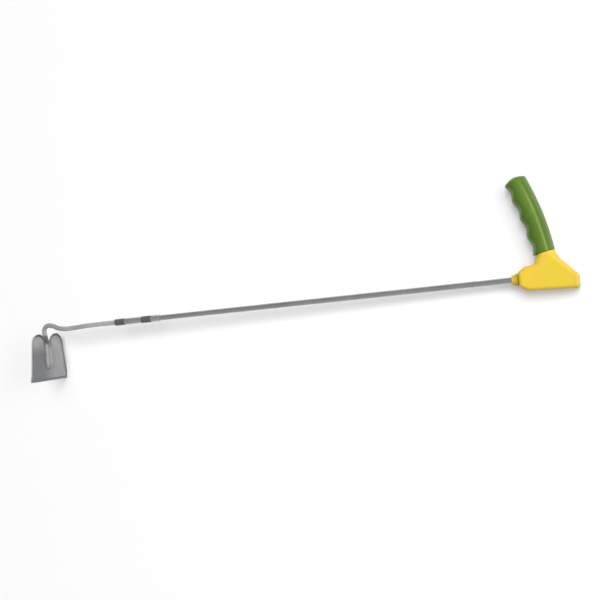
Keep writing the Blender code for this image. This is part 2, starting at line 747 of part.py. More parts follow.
def build_body_half(name, side, finish):
    """One half of the handle: hollow, with screw bosses, a bridge round the shaft and half the core."""
    half = body_half_solid(name, side, finish)
    roof = BODY_HALF_WIDTH - BODY_WALL
    for label, corners in zip(("front", "rear"), chamber_corners()):
        boolean(half, "DIFFERENCE", prism(f"{name}_{label}_chamber", corners, -CUTTER_MARGIN, roof, side))
    boolean(half, "UNION", core_half(f"{name}_core", side))
    for k, place in enumerate(SCREW_PLACES):
        top = side * (roof + BOSS_INTO_ROOF)
        rise = [(side * SPLIT_GAP / 2, BOSS_DIAMETER / 2), (top, BOSS_DIAMETER / 2)]
        boolean(half, "UNION", turned_across(f"{name}_boss_{k}", place, rise, None))
    bore = SHAFT_DIAMETER / 2 + PRESS_FIT
    shaft_bore = [(BODY_FRONT - BORE_LEAD, bore), (SHAFT_REACH_IN_HANDLE + BORE_RUNOUT, bore)]
    boolean(half, "DIFFERENCE", turned(f"{name}_shaft_bore", shaft_bore, None))
    mouth = NOSE_SPIGOT_RADIUS + PRESS_FIT
    mouth_depth = [(BODY_FRONT - BORE_LEAD, mouth), (BODY_FRONT + NOSE_SPIGOT_LENGTH, mouth)]
    boolean(half, "DIFFERENCE", turned(f"{name}_nose_mouth", mouth_depth, None))
    seat = PIN_LENGTH / 2 + FIT
    pin_radius = PIN_DIAMETER / 2 + PRESS_FIT
    seat_profile = [(-seat, pin_radius), (seat, pin_radius)]
    boolean(half, "DIFFERENCE", turned_across(f"{name}_pin_seat", (PIN_PLACE, 0), seat_profile, None))
    hole = SCREW_SHANK / 2 + PRESS_FIT
    head = SCREW_HEAD / 2 + FIT
    for k, place in enumerate(SCREW_PLACES):
        if side > 0:
            profile = [(-CUTTER_MARGIN, hole), (SCREW_REACH + FIT, hole)]
        else:
            floor = -(BODY_HALF_WIDTH - SCREW_HEAD_SINK - SCREW_HEAD_THICKNESS) + FIT
            outside = -BODY_HALF_WIDTH - CUTTER_MARGIN
            profile = [(CUTTER_MARGIN, hole), (floor, hole), (floor, head), (outside, head)]
        boolean(half, "DIFFERENCE", turned_across(f"{name}_screw_hole_{k}", place, profile, None))
    return half


def build_screw(name, place, finish):
    """Pan-head screw, its head sunk in the low half, with a cross recess."""
    top = -(BODY_HALF_WIDTH - SCREW_HEAD_SINK)
    under = top + SCREW_HEAD_THICKNESS
    head = SCREW_HEAD / 2
    shank = SCREW_SHANK / 2
    profile = [(top + SCREW_HEAD_THICKNESS * depth, head * width) for depth, width in SCREW_PAN]
    profile += [(under, shank), (SCREW_REACH - shank, shank), (SCREW_REACH, shank * SCREW_POINT_SHARE)]
    screw = turned_across(name, place, profile, finish)
    for label, first, second in (("slot", ALONG, UP_GRIP), ("cross", UP_GRIP, ALONG)):
        length = SCREW_DRIVE_ACROSS / 2
        width = length * SCREW_DRIVE_WIDTH_SHARE
        foot = flat(place)
        rings = []
        for height in (top - CUTTER_MARGIN, top + SCREW_DRIVE_DEPTH):
            base = foot + ACROSS * height
            signs = ((1, 1), (-1, 1), (-1, -1), (1, -1))
            rings.append([base + first * length * a + second * width * b for a, b in signs])
        boolean(screw, "DIFFERENCE", ring_solid(f"{name}_{label}", rings, None))
    return screw


def build_cap(finish):
    """Rear cap: closes both halves, with rounded edges and a spigot inside them."""
    edge = CAP_CORNER_RADIUS
    front = BODY_REAR + FIT
    rear = BODY_REAR + CAP_THICKNESS

    def section(place, inset):
        bottom = BODY_REAR_BOTTOM + inset
        drop = (place - BODY_REAR) * (NAPE[1] - BODY_REAR_TOP) / (BODY_REAR - NAPE[0])
        top = BODY_REAR_TOP - drop - inset
        wide = BODY_HALF_WIDTH - inset
        corners = [(Vector((bottom, -wide, 0)), edge), (Vector((top, -wide, 0)), edge)]
        corners += [(Vector((top, wide, 0)), edge), (Vector((bottom, wide, 0)), edge)]
        outline = rounded_outline(corners, CORNER_STEPS)
        return [Vector((place, point.x, point.y)) for point in outline]

    rings = [section(front, 0), section(rear - CAP_ROUNDING, 0)]
    turn_place = rear - CAP_ROUNDING * CAP_ROUNDING_DEPTH_SHARE
    rings += [section(turn_place, CAP_ROUNDING * CAP_ROUNDING_INSET_SHARE), section(rear, CAP_ROUNDING)]
    cap = ring_solid("rear_cap", rings, finish)
    spigot_bottom = BODY_REAR_BOTTOM + BODY_WALL + CAP_SPIGOT_FOOT
    wide = BODY_HALF_WIDTH - BODY_WALL - FIT
    low, high = spigot_bottom, CAP_SPIGOT_TOP
    corners = []
    for v, w in ((low, -wide), (high, -wide), (high, wide), (low, wide)):
        corners.append((Vector((v, w, 0)), CAP_SPIGOT_RADIUS))
    outline = rounded_outline(corners, CORNER_STEPS)
    rings = []
    for place in (BODY_REAR - CAP_SPIGOT_LENGTH, BODY_REAR + CAP_THICKNESS / 2):
        rings.append([Vector((place, point.x, point.y)) for point in outline])
    boolean(cap, "UNION", ring_solid("cap_spigot", rings, None))
    return cap


def grip_ring(along, shrink, lift):
    """One outer ring of the grip: an ellipse, deeper at the palm and pressed in at each finger's place."""
    share = min(max(along / GRIP_LENGTH, 0), 1)
    finger = (1 - math.cos(2 * math.pi * FINGER_GROOVES * share)) / 2
    below = share / GRIP_PALM_PLACE / 2
    above = (1 + (share - GRIP_PALM_PLACE) / (1 - GRIP_PALM_PLACE)) / 2
    palm = math.sin(math.pi * min(below, above))
    rear_depth = GRIP_REAR_DEPTH + GRIP_PALM_SWELL * palm
    half_width = GRIP_HALF_WIDTH + GRIP_WIDTH_SWELL * math.sin(math.pi * share)
    centre = grip_point(along) + grip_axis(along) * lift
    rear = grip_rear(along)
    ring = []
    for k in range(GRIP_SIDES):
        turn = 2 * math.pi * k / GRIP_SIDES
        toward = math.cos(turn)
        depth = rear_depth if toward > 0 else GRIP_FRONT_DEPTH
        groove = FINGER_GROOVE_DEPTH * finger * fade(-toward, *FINGER_GROOVE_FADE)
        out = toward * (depth - shrink) + (groove if toward < 0 else 0)
        ring.append(centre + rear * out + ACROSS * (half_width - shrink) * math.sin(turn))
    return ring


def build_grip(finish):
    """Soft sleeve with four finger grooves, a domed top and a blind hole for the core."""
    foot = FIT
    rings = []
    for k in range(GRIP_STEPS + 1):
        along = foot + (GRIP_LENGTH - GRIP_EDGE - foot) * k / GRIP_STEPS
        rings.append(grip_ring(along, 0.0, 0.0))
    for step in range(1, GRIP_EDGE_STEPS + 1):
        turn = math.pi / 2 * step / GRIP_EDGE_STEPS
        along = GRIP_LENGTH - GRIP_EDGE + GRIP_EDGE * math.sin(turn)
        shrink = GRIP_EDGE * (1 - math.cos(turn))
        rings.append(grip_ring(along, shrink, 0.0))
    for share in GRIP_DOME_SHARES:
        shrink = GRIP_EDGE + (GRIP_FRONT_DEPTH - GRIP_EDGE) * (1 - share)
        rings.append(grip_ring(GRIP_LENGTH, shrink, GRIP_DOME * (1 - share**2)))
    grip = ring_solid("grip_sleeve", rings, finish)
    bore = []
    for step in range(CORE_STEPS + 2):
        along = -CUTTER_MARGIN + (CORE_LENGTH + FIT + CUTTER_MARGIN) * step / (CORE_STEPS + 1)
        rear = grip_rear(along)
        deep = CORE_DEPTH + FIT
        wide = CORE_HALF_WIDTH + FIT
        bore.append(circle(grip_point(along), deep, rear, ACROSS, 2 * CORE_SIDES, wide))
    boolean(grip, "DIFFERENCE", ring_solid("grip_bore", bore, None))
    return grip


def world_points(pieces):
    """Evaluated points of the pieces in world space."""
    graph = bpy.context.evaluated_depsgraph_get()
    points = []
    for piece in pieces:
        evaluated = piece.evaluated_get(graph)
        mesh = evaluated.to_mesh()
        points += [evaluated.matrix_world @ vertex.co for vertex in mesh.vertices]
        evaluated.to_mesh_clear()
    return points


def lay_down(pieces, supports):
    """Tilts the tool until its supports share one lowest level, and centres it over the origin."""
    bpy.context.view_layer.update()
    support_points = [world_points([piece]) for piece in supports]
    upward = ACROSS.copy()
    for _ in range(SETTLING_ROUNDS):
        lows = [min(points, key=upward.dot) for points in support_points]
        upward = (lows[1] - lows[0]).cross(lows[2] - lows[0]).normalized()
        if upward.z < 0:
            upward = -upward
    forward = (ALONG - upward * ALONG.dot(upward)).normalized()
    turn = Matrix((forward, upward.cross(forward), upward)).to_4x4()
    turned_points = [turn @ point for point in world_points(pieces)]
    middle_x = (min(p.x for p in turned_points) + max(p.x for p in turned_points)) / 2
    middle_y = (min(p.y for p in turned_points) + max(p.y for p in turned_points)) / 2
    floor = min(p.z for p in turned_points)
    TOOL.matrix_world = Matrix.Translation((-middle_x, -middle_y, -floor)) @ turn
    bpy.context.view_layer.update()


STEEL = material("blade_steel", (0.20, 0.21, 0.22), 0.42, 1.0)
BRIGHT_STEEL = material("plated_steel", (0.30, 0.31, 0.32), 0.32, 1.0)
DARK_STEEL = material("dark_ring_steel", (0.07, 0.07, 0.08), 0.45, 1.0)
WELD_STEEL = material("weld_steel", (0.16, 0.16, 0.17), 0.55, 1.0)
YELLOW = material("yellow_plastic", (0.86, 0.62, 0.06), 0.42, 0.0)
GREEN = material("green_grip", (0.10, 0.22, 0.03), 0.38, 0.0)
PLUG_PLASTIC = material("plug_plastic", (0.05, 0.05, 0.05), 0.6, 0.0)


def build_tool():
    """Builds every piece and lays the tool on its blade's side corner, its body and its grip."""
    blade = build_blade(STEEL)
    path, radii = rod_course()
    pieces = [blade, swept("neck_rod", path, radii, BRIGHT_STEEL, ROD_SIDES)]
    pieces.append(build_weld_bead("weld_bead_upper", 1, WELD_STEEL))
    pieces.append(build_weld_bead("weld_bead_lower", -1, WELD_STEEL))
    pieces.append(build_sleeve(BRIGHT_STEEL))
    for name, front in zip(("front_locking_ring", "rear_locking_ring"), RING_PLACES):
        pieces.append(build_locking_ring(name, front, DARK_STEEL))
    pieces.append(build_shaft(BRIGHT_STEEL))
    pieces.append(build_plug(PLUG_PLASTIC))
    pieces.append(build_pin(BRIGHT_STEEL))
    pieces.append(build_nose(YELLOW))
    pieces.append(build_body_half("handle_half_upper", 1, YELLOW))
    low_half = build_body_half("handle_half_lower", -1, YELLOW)
    pieces.append(low_half)
    for k, place in enumerate(SCREW_PLACES, start=1):
        pieces.append(build_screw(f"handle_screw_{k}", place, BRIGHT_STEEL))
    pieces.append(build_cap(YELLOW))
    grip = build_grip(GREEN)
    pieces.append(grip)
    lay_down(pieces, (blade, low_half, grip))


build_tool()
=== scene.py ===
"""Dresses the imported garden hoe, a one-handed weeding hoe with a long shaft, lying on its side.

Every shape is worked out in the tool's own frame, in metres: X runs along the shaft from the blade to the
handle, with 0 at the front of the handle's nose, Y points from the shaft to the top of the grip, and Z is
across the tool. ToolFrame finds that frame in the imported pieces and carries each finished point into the
row's frame, so that every object sits at the origin, unturned and unscaled.
"""

import logging
import math
from dataclasses import dataclass, field
from enum import Enum

import bpy
import numpy as np
from mathutils import Matrix

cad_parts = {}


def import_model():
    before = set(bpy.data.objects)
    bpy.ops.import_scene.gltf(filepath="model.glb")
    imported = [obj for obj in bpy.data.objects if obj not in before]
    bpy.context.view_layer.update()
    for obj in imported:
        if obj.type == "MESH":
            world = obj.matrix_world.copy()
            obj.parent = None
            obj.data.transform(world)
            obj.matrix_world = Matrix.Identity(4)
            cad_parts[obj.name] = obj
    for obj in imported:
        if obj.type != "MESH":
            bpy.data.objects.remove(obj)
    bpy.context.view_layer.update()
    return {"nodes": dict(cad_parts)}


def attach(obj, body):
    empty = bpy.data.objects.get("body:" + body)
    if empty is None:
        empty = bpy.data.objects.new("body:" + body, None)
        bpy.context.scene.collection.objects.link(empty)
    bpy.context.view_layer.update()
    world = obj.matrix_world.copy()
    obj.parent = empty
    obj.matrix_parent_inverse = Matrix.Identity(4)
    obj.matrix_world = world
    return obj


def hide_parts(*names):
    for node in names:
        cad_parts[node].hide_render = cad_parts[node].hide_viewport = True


LOG = logging.getLogger("garden_hoe")

Colour = tuple[float, float, float]
Span = tuple[float, float]
Corner = tuple[float, float, float]
Plug = bpy.types.NodeSocket

MM = 0.001
BODY = "root"
POINT_DIGITS = 7


class Mark(Enum):
    """Value that a surface carries for its material, by its attribute's name."""

    LAID = "laid"
    EDGE = "edge"
    # Painted shade on the blade's curled lip.
    RIM_SHADE = "rim"
    # The blade's ground bevel: smoother, and its darker colour is painted shade.
    GROUND_SHADE = "ground"
    # Where the rod is coloured darker: at its last bend, above the toe and, less, along the toe.
    DARKENED = "darkened"
    SHADE = "shade"
    # Painted shade where the nose collar recedes to its gap.
    RECESS_SHADE = "recess"


# Shapes as arrays


def mm(*sizes: float) -> tuple[float, ...]:
    """Millimetres in metres."""
    return tuple(size * MM for size in sizes)


def unit(vectors: np.ndarray) -> np.ndarray:
    """Vectors divided by their lengths."""
    return vectors / np.linalg.norm(vectors, axis=-1, keepdims=True)


def around(sides: int) -> np.ndarray:
    """Angles of a whole turn in even steps, its end left off."""
    return np.linspace(0, 2 * np.pi, sides, endpoint=False)


def quarter(steps: int) -> np.ndarray:
    """Angles from 0 to a right angle in even steps."""
    return np.linspace(0, np.pi / 2, steps + 1)


def smooth_step(value: np.ndarray, start: float, end: float) -> np.ndarray:
    """3 t^2 - 2 t^3 with t running from 0 at start to 1 at end, and held beyond them."""
    share = np.clip((value - start) / (end - start), 0, 1)
    return share * share * (3 - 2 * share)


@dataclass(frozen=True)
class ToolFrame:
    """Place of the tool's own frame in the row's frame.

    Attributes:
        origin: point at the front of the nose, on the shaft's axis.
        axes: the tool's X, Y and Z directions as rows.
    """

    origin: np.ndarray
    axes: np.ndarray

    @classmethod
    def from_nodes(cls, nodes: dict[str, bpy.types.Object]) -> "ToolFrame":
        """Finds the frame from two turned pieces on the shaft's axis and the pin that crosses it.

        Args:
            nodes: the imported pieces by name.

        Returns:
            The frame: X from the sleeve's centre to the nose's, Z along the pin, Y square to both.
        """
        sleeve = corner_points(nodes["joint_sleeve"]).mean(axis=0)
        nose = corner_points(nodes["nose_collar"])
        along = unit(nose.mean(axis=0) - sleeve)
        pin = corner_points(nodes["shaft_cross_pin"])
        across = np.linalg.svd(pin - pin.mean(axis=0))[2][0]
        across = unit(across - along * (across @ along)) * np.sign(across[2])
        front = ((nose - sleeve) @ along).min()
        axes = np.array([along, np.cross(across, along), across])
        return cls(origin=sleeve + along * front, axes=axes)

    def to_row(self, points: np.ndarray) -> np.ndarray:
        """Points of the tool's frame in the row's frame: origin + x X + y Y + z Z."""
        return self.origin + points @ self.axes


def corner_points(node: bpy.types.Object) -> np.ndarray:
    """Each separate corner point of a mesh once.

    Args:
        node: a mesh object that sits at the origin.

    Returns:
        Array of points, one row each.
    """
    flat = np.zeros(len(node.data.vertices) * 3, np.float32)
    node.data.vertices.foreach_get("co", flat)
    return np.unique(np.round(flat.reshape(-1, 3).astype(float), POINT_DIGITS), axis=0)


def softened(corners: np.ndarray, setback: float, steps: int, most: float = 0.45) -> tuple[np.ndarray, np.ndarray]:
    """Rounds the inner corners of an open profile.

    Each corner P is replaced by the parabola (1-s)^2 A + 2 s (1-s) P + s^2 B, where A and B lie on the two
    sides at the setback from P.

    Args:
        corners: profile points, one row each.
        setback: distance from a corner at which its rounding starts.
        steps: steps in each rounding.
        most: largest share of a side that the setback takes.

    Returns:
        The rounded profile, and a mark for each of its points: 4 s (1-s) in a rounding, 0 at the ends.
    """
    inner = corners[1:-1]
    ends = []
    for neighbour in (corners[:-2], corners[2:]):
        side = neighbour - inner
        length = np.linalg.norm(side, axis=1, keepdims=True)
        ends.append((inner + side / length * np.minimum(setback, most * length))[:, None])
    share = np.linspace(0, 1, steps + 1)[None, :, None]
    bends = (1 - share) ** 2 * ends[0] + 2 * share * (1 - share) * inner[:, None] + share**2 * ends[1]
    marks = np.broadcast_to((4 * share * (1 - share))[:, :, 0], bends.shape[:2])
    points = np.concatenate([corners[:1], bends.reshape(-1, corners.shape[1]), corners[-1:]])
    return points, np.concatenate([[0.0], marks.ravel(), [0.0]])


def flowing_path(control: np.ndarray, steps: int) -> np.ndarray:
    """Smooth curve through control points.

    Each stretch from P to Q is the cubic (2t^3-3t^2+1) P + (t^3-2t^2+t) U + (3t^2-2t^3) Q + (t^3-t^2) V, where U
    and V point along the chords of the neighbours and are as long as PQ.

    Args:
        control: points, one row each.
        steps: steps in each stretch.

    Returns:
        Points of the curve, the last control point included.
    """
    padded = np.concatenate([2 * control[:1] - control[1:2], control, 2 * control[-1:] - control[-2:-1]])
    start, end = padded[1:-2], padded[2:-1]
    reach = np.linalg.norm(end - start, axis=1, keepdims=True)
    leave = unit(end - padded[:-3]) * reach
    arrive = unit(padded[3:] - start) * reach
    t = (np.arange(steps) / steps)[None, :, None]
    curve = (
        (2 * t**3 - 3 * t**2 + 1) * start[:, None]
        + (t**3 - 2 * t**2 + t) * leave[:, None]
        + (3 * t**2 - 2 * t**3) * end[:, None]
        + (t**3 - t**2) * arrive[:, None]
    )
    return np.concatenate([curve.reshape(-1, control.shape[1]), control[-1:]])


def rounded_corners(
    corners: np.ndarray, radii: np.ndarray, values: np.ndarray, arc_steps: int, edge_steps: int
) -> tuple[np.ndarray, np.ndarray]:
    """Closed outline with arcs at its corners, and a value carried along it.

    At each corner the arc has centre P + m r / sin h, where m is the middle direction between the two sides and
    h half the angle between them. Between arcs the outline is straight, and the value goes from one corner's to
    the next as 3t^2 - 2t^3.

    Args:
        corners: outline corners, one (x, y) row each, counter-clockwise.
        radii: radius at each corner.
        values: value at each corner.
        arc_steps: steps in each arc.
        edge_steps: steps in each straight side.

    Returns:
        Outline points and the value at each.
    """
    before = unit(np.roll(corners, 1, axis=0) - corners)
    after = unit(np.roll(corners, -1, axis=0) - corners)
    half = np.arccos(np.clip((before * after).sum(axis=1), -1, 1)) / 2
    radius = radii[:, None]
    centre = corners + unit(before + after) * radius / np.sin(half)[:, None]
    start = corners + before * radius / np.tan(half)[:, None]
    end = corners + after * radius / np.tan(half)[:, None]
    share = np.linspace(0, 1, arc_steps + 1)[None, :, None]
    swing = (start - centre)[:, None] * (1 - share) + (end - centre)[:, None] * share
    arcs = centre[:, None] + unit(swing) * radius[:, None]
    step = (np.arange(1, edge_steps) / edge_steps)[None, :, None]
    sides = end[:, None] * (1 - step) + np.roll(start, -1, axis=0)[:, None] * step
    blend = smooth_step(step[:, :, 0], 0, 1)
    side_values = values[:, None] * (1 - blend) + np.roll(values, -1)[:, None] * blend
    arc_values = np.broadcast_to(values[:, None], (len(values), arc_steps + 1))
    points = np.concatenate([arcs, sides], axis=1).reshape(-1, 2)
    return points, np.concatenate([arc_values, side_values], axis=1).ravel()


def inset_corners(corners: np.ndarray, insets: np.ndarray) -> np.ndarray:
    """Corners of a polygon whose side k, from corner k to the next, is moved inwards by insets[k].

    Each new corner is where two moved sides meet: P + d ((Q - P) x e) / (d x e).

    Args:
        corners: (x, y) rows, counter-clockwise.
        insets: distance for each side.

    Returns:
        The moved corners.
    """
    direction = unit(np.roll(corners, -1, axis=0) - corners)
    inward = np.stack([-direction[:, 1], direction[:, 0]], axis=1)
    foot = corners + inward * insets[:, None]
    first, along_first = np.roll(foot, 1, axis=0), np.roll(direction, 1, axis=0)
    gap = foot - first
    turn = along_first[:, 0] * direction[:, 1] - along_first[:, 1] * direction[:, 0]
    reach = (gap[:, 0] * direction[:, 1] - gap[:, 1] * direction[:, 0]) / turn
    return first + along_first * reach[:, None]


@dataclass
class Skin:
    """Grid of points that becomes one closed mesh.

    Attributes:
        points: rows by columns by 3, in the tool's frame. Columns run round the piece and close on themselves.
        laid: the same grid before any bending, for patterns that follow the piece.
        marks: values for the material, each spread over rows by columns.
        ring: True where the last row joins the first, as on a bored piece; else both ends are capped.
        sharp: largest angle, in degrees, that is still shaded smooth.
    """

    points: np.ndarray
    laid: np.ndarray | None = None
    marks: dict[Mark, np.ndarray] = field(default_factory=dict)
    ring: bool = False
    sharp: float = 40.0

    @classmethod
    def turned(cls, profile: list[Span], setback: float, steps: int, sides: int) -> "Skin":
        """Ring turned about the shaft's axis from a profile (x, r) with softened corners: (x, r cos a, r sin a).

        Args:
            profile: the profile's corners, from the bore round the outside and back to the bore.
            setback: distance from a corner at which its rounding starts.
            steps: steps in each rounding.
            sides: steps round the axis.

        Returns:
            The skin, its roundings marked as edges.
        """
        points, marks = softened(np.array(profile), setback, steps)
        turn = around(sides)
        place, radius = points[:, :1], points[:, 1:]
        grid = np.stack([place + 0 * turn, radius * np.cos(turn), radius * np.sin(turn)], axis=-1)
        return cls(grid, marks={Mark.EDGE: marks[:, None]}, ring=True)

    @property
    def next_rows(self) -> tuple[slice, np.ndarray]:
        """Rows that start a band of quads, and the number of the row that ends each."""
        rows = len(self.points)
        return (slice(None), np.roll(np.arange(rows), -1)) if self.ring else (slice(-1), np.arange(1, rows))

    def faces(self) -> list[list[int]]:
        """Joins neighbouring rows and closes the ends.

        Returns:
            Quads between the rows, and a cap over each end unless the rows close into a ring.
        """
        index = np.arange(self.points[..., 0].size).reshape(self.points.shape[:2])
        first, second = self.next_rows
        low, high = index[first], index[second]
        quads = np.stack([low, np.roll(low, -1, axis=1), np.roll(high, -1, axis=1), high], axis=-1)
        caps = [] if self.ring else [index[0][::-1].tolist(), index[-1].tolist()]
        return quads.reshape(-1, 4).tolist() + caps

    def volume_sign(self) -> float:
        """Tells whether the faces look outwards.

        Returns:
            Sign of the sum over the faces of (diagonal x diagonal) . centre, which goes with the volume.
        """
        first, second = self.next_rows
        low, high = self.points[first], self.points[second]
        middle = self.points.reshape(-1, 3).mean(axis=0)
        a, b, c, d = low, np.roll(low, -1, axis=1), np.roll(high, -1, axis=1), high
        total = (np.cross(c - a, d - b) * ((a + b + c + d) / 4 - middle)).sum()
        for row, sense in () if self.ring else ((self.points[0], -1), (self.points[-1], 1)):
            area = np.cross(row, np.roll(row, -1, axis=0)).sum(axis=0) * sense
            total += area @ (row.mean(axis=0) - middle)
        return float(np.sign(total))

    def to_object(self, name: str, frame: ToolFrame) -> bpy.types.Object:
        """Makes the mesh object in the row's frame, facing outwards.

        Args:
            name: the object's name.
            frame: the tool's frame.

        Returns:
            The object, at the origin, with its values as attributes.
        """
        faces = self.faces()
        if self.volume_sign() < 0:
            faces = [face[::-1] for face in faces]
        mesh = bpy.data.meshes.new(name)
        mesh.from_pydata(frame.to_row(self.points.reshape(-1, 3)).tolist(), [], faces)
        laid = self.points if self.laid is None else self.laid
        spread = mesh.attributes.new(Mark.LAID.value, "FLOAT_VECTOR", "POINT")
        spread.data.foreach_set("vector", laid.reshape(-1).astype(np.float32))
        for mark, values in self.marks.items():
            full = np.broadcast_to(values, self.points.shape[:2])
            made = mesh.attributes.new(mark.value, "FLOAT", "POINT")
            made.data.foreach_set("value", full.reshape(-1).astype(np.float32))
        mesh.validate()
        mesh.shade_smooth()
        mesh.set_sharp_from_angle(angle=math.radians(self.sharp))
        piece = bpy.data.objects.new(name, mesh)
        bpy.context.scene.collection.objects.link(piece)
        return piece


def even_shading(piece: bpy.types.Object) -> None:
    """Lets broad flat faces set the shading where they meet a rounded rim."""
    piece.modifiers.new("even_shading", "WEIGHTED_NORMAL").keep_sharp = True


def cut_away(piece: bpy.types.Object, cutter: bpy.types.Object) -> None:
    """Cuts one mesh out of another and removes the cutter.

    Args:
        piece: the object that loses material.
        cutter: the object to cut with.
    """
    cut = piece.modifiers.new(cutter.name, "BOOLEAN")
    cut.operation, cut.solver, cut.object = "DIFFERENCE", "EXACT", cutter
    graph = bpy.context.evaluated_depsgraph_get()
    mesh = bpy.data.meshes.new_from_object(piece.evaluated_get(graph))
    piece.modifiers.remove(cut)
    old, piece.data = piece.data, mesh
    bpy.data.meshes.remove(old)
    mesh.name = piece.name
    bpy.data.objects.remove(cutter)


# Finishes


class Pattern(Enum):
    """What runs over a surface, with its stretch along each axis."""

    DRAWN = (0.02, 1.0, 1.0)
    TURNED = (1.0, 0.03, 0.03)
    ROLLED = (1.0, 0.55, 1.0)
    COATED = (1.0, 1.0, 1.0)
    MOULDED = None


class Coordinates(Enum):
    """Where a pattern takes its place from: a mark of the piece's own, or the object where it has none."""

    LAID = ("ShaderNodeAttribute", "Vector", {"attribute_name": Mark.LAID.value})
    OBJECT = ("ShaderNodeTexCoord", "Object", {})


@dataclass(frozen=True)
class Band:
    """Part of a surface that is coloured apart from the rest.

    Attributes:
        mark: value that shows where; SHADE is also multiplied by the plate's shade.
        colour: colour there, linear.
        share: how far the surface's colour goes over to it.
        roughness: change of roughness there.
        breakup: how much the smudges eat into the band.
    """

    mark: Mark
    colour: Colour
    share: float
    roughness: float = 0.0
    breakup: float = 0.35


@dataclass(frozen=True)
class Finish:
    """One surface finish; colours are linear and sizes in metres.

    Attributes:
        name: material name.
        colour: main colour.
        second: colour that the pattern drifts to.
        roughness: mean roughness.
        metallic: 1 for bare metal, 0 for plastic and paint.
        pattern: what runs over the surface.
        grain: size of the pattern's detail.
        depth: height of the pattern's relief.
        drift: size of the slow colour changes.
        drift_share: how far the slow changes go from colour to second.
        edge_colour: colour on worn edges and in scratches.
        edge_share: how much of the edges is worn.
        stain_colour: colour of the smudges.
        stain_share: how strong smudges and scratches are.
        bands: parts of the surface with a colour of their own.
        coat: clear gloss over the surface.
        reflect: specular level.
        tint: colour of the specular reflection.
        coordinates: where patterns take their place from.
    """

    name: str
    colour: Colour
    second: Colour
    roughness: float
    metallic: float
    pattern: Pattern
    grain: float
    depth: float
    drift: float = 30 * MM
    drift_share: float = 0.6
    edge_colour: Colour = (0.6, 0.6, 0.6)
    edge_share: float = 0.0
    stain_colour: Colour = (0.05, 0.045, 0.04)
    stain_share: float = 0.0
    bands: tuple[Band, ...] = ()
    coat: float = 0.0
    reflect: float = 0.5
    tint: Colour = (1.0, 1.0, 1.0)
    coordinates: Coordinates = Coordinates.LAID


BLADE_STEEL = Finish(
    "blade_steel", (0.40, 0.405, 0.415), (0.49, 0.492, 0.497), 0.46, 0.5, Pattern.ROLLED, 1.1 * MM, 0.02 * MM,
    drift=24 * MM, drift_share=0.8, edge_colour=(0.62, 0.62, 0.63), edge_share=0.5,
    stain_colour=(0.22, 0.22, 0.225), stain_share=0.35,
    bands=(
        Band(Mark.SHADE, (0.205, 0.21, 0.22), 0.92, breakup=0.1),
        # Painted shade on the blade's curled lip, a dark colour.
        Band(Mark.RIM_SHADE, (0.06, 0.06, 0.063), 0.88, 0.08, 0.2),
        # Ground bevel: smoother, and its darker colour is painted shade.
        Band(Mark.GROUND_SHADE, (0.20, 0.205, 0.215), 0.8, -0.08, 0.15),
    ),
)
ROD_STEEL = Finish(
    "rod_steel", (0.56, 0.562, 0.57), (0.64, 0.64, 0.646), 0.46, 0.5, Pattern.DRAWN, 0.5 * MM, 0.006 * MM,
    drift=45 * MM, stain_share=0.25, stain_colour=(0.24, 0.235, 0.23),
    # Darker band on the rod at its last bend, above the toe and, less, along the toe.
    bands=(Band(Mark.DARKENED, (0.15, 0.148, 0.147), 0.9, 0.1, 0.2),),
)
SHAFT_STEEL = Finish(
    "shaft_steel", (0.51, 0.512, 0.52), (0.60, 0.60, 0.606), 0.40, 0.8, Pattern.DRAWN, 0.35 * MM, 0.004 * MM,
    drift=60 * MM, stain_share=0.2, stain_colour=(0.2, 0.2, 0.2),
)
SLEEVE_STEEL = Finish(
    "sleeve_steel", (0.58, 0.582, 0.595), (0.68, 0.68, 0.69), 0.40, 0.8, Pattern.TURNED, 0.22 * MM, 0.006 * MM,
    drift=20 * MM, edge_colour=(0.75, 0.75, 0.76), edge_share=0.4, stain_share=0.25, stain_colour=(0.16, 0.16, 0.16),
)
RING_STEEL = Finish(
    "ring_steel", (0.088, 0.088, 0.093), (0.122, 0.122, 0.127), 0.42, 0.0, Pattern.COATED, 0.5 * MM, 0.012 * MM,
    drift=8 * MM, edge_colour=(0.33, 0.33, 0.34), edge_share=0.5, stain_share=0.2, stain_colour=(0.15, 0.15, 0.15),
)
WELD_STEEL = Finish(
    "weld_steel", (0.46, 0.46, 0.465), (0.55, 0.547, 0.542), 0.5, 0.4, Pattern.ROLLED, 0.4 * MM, 0.02 * MM,
    drift=5 * MM, stain_colour=(0.20, 0.185, 0.17), stain_share=0.5,
)
HANDLE_PLASTIC = Finish(
    "handle_plastic", (0.755, 0.536, 0.043), (0.702, 0.495, 0.040), 0.44, 0.0, Pattern.MOULDED, 0.32 * MM, 0.012 * MM,
    drift=38 * MM, drift_share=0.5, edge_colour=(0.90, 0.68, 0.07), edge_share=0.3,
    stain_colour=(0.55, 0.38, 0.04), stain_share=0.12, coat=0.05,
    # Painted shade, dark olive, where the nose collar recedes to its gap.
    bands=(Band(Mark.RECESS_SHADE, (0.42, 0.28, 0.015), 0.75, 0.1, 0.3),),
)
GRIP_RUBBER = Finish(
    "grip_rubber", (0.089, 0.180, 0.022), (0.074, 0.155, 0.018), 0.27, 0.0, Pattern.MOULDED, 0.5 * MM, 0.015 * MM,
    drift=30 * MM, drift_share=0.6, edge_colour=(0.14, 0.25, 0.05), edge_share=0.25,
    stain_colour=(0.05, 0.09, 0.02), stain_share=0.25, reflect=0.62, tint=(1.0, 1.0, 0.5),
)
SCREW_STEEL = Finish(
    "screw_steel", (0.50, 0.50, 0.51), (0.60, 0.60, 0.61), 0.3, 1.0, Pattern.ROLLED, 0.3 * MM, 0.005 * MM,
    drift=3 * MM, coordinates=Coordinates.OBJECT,
)
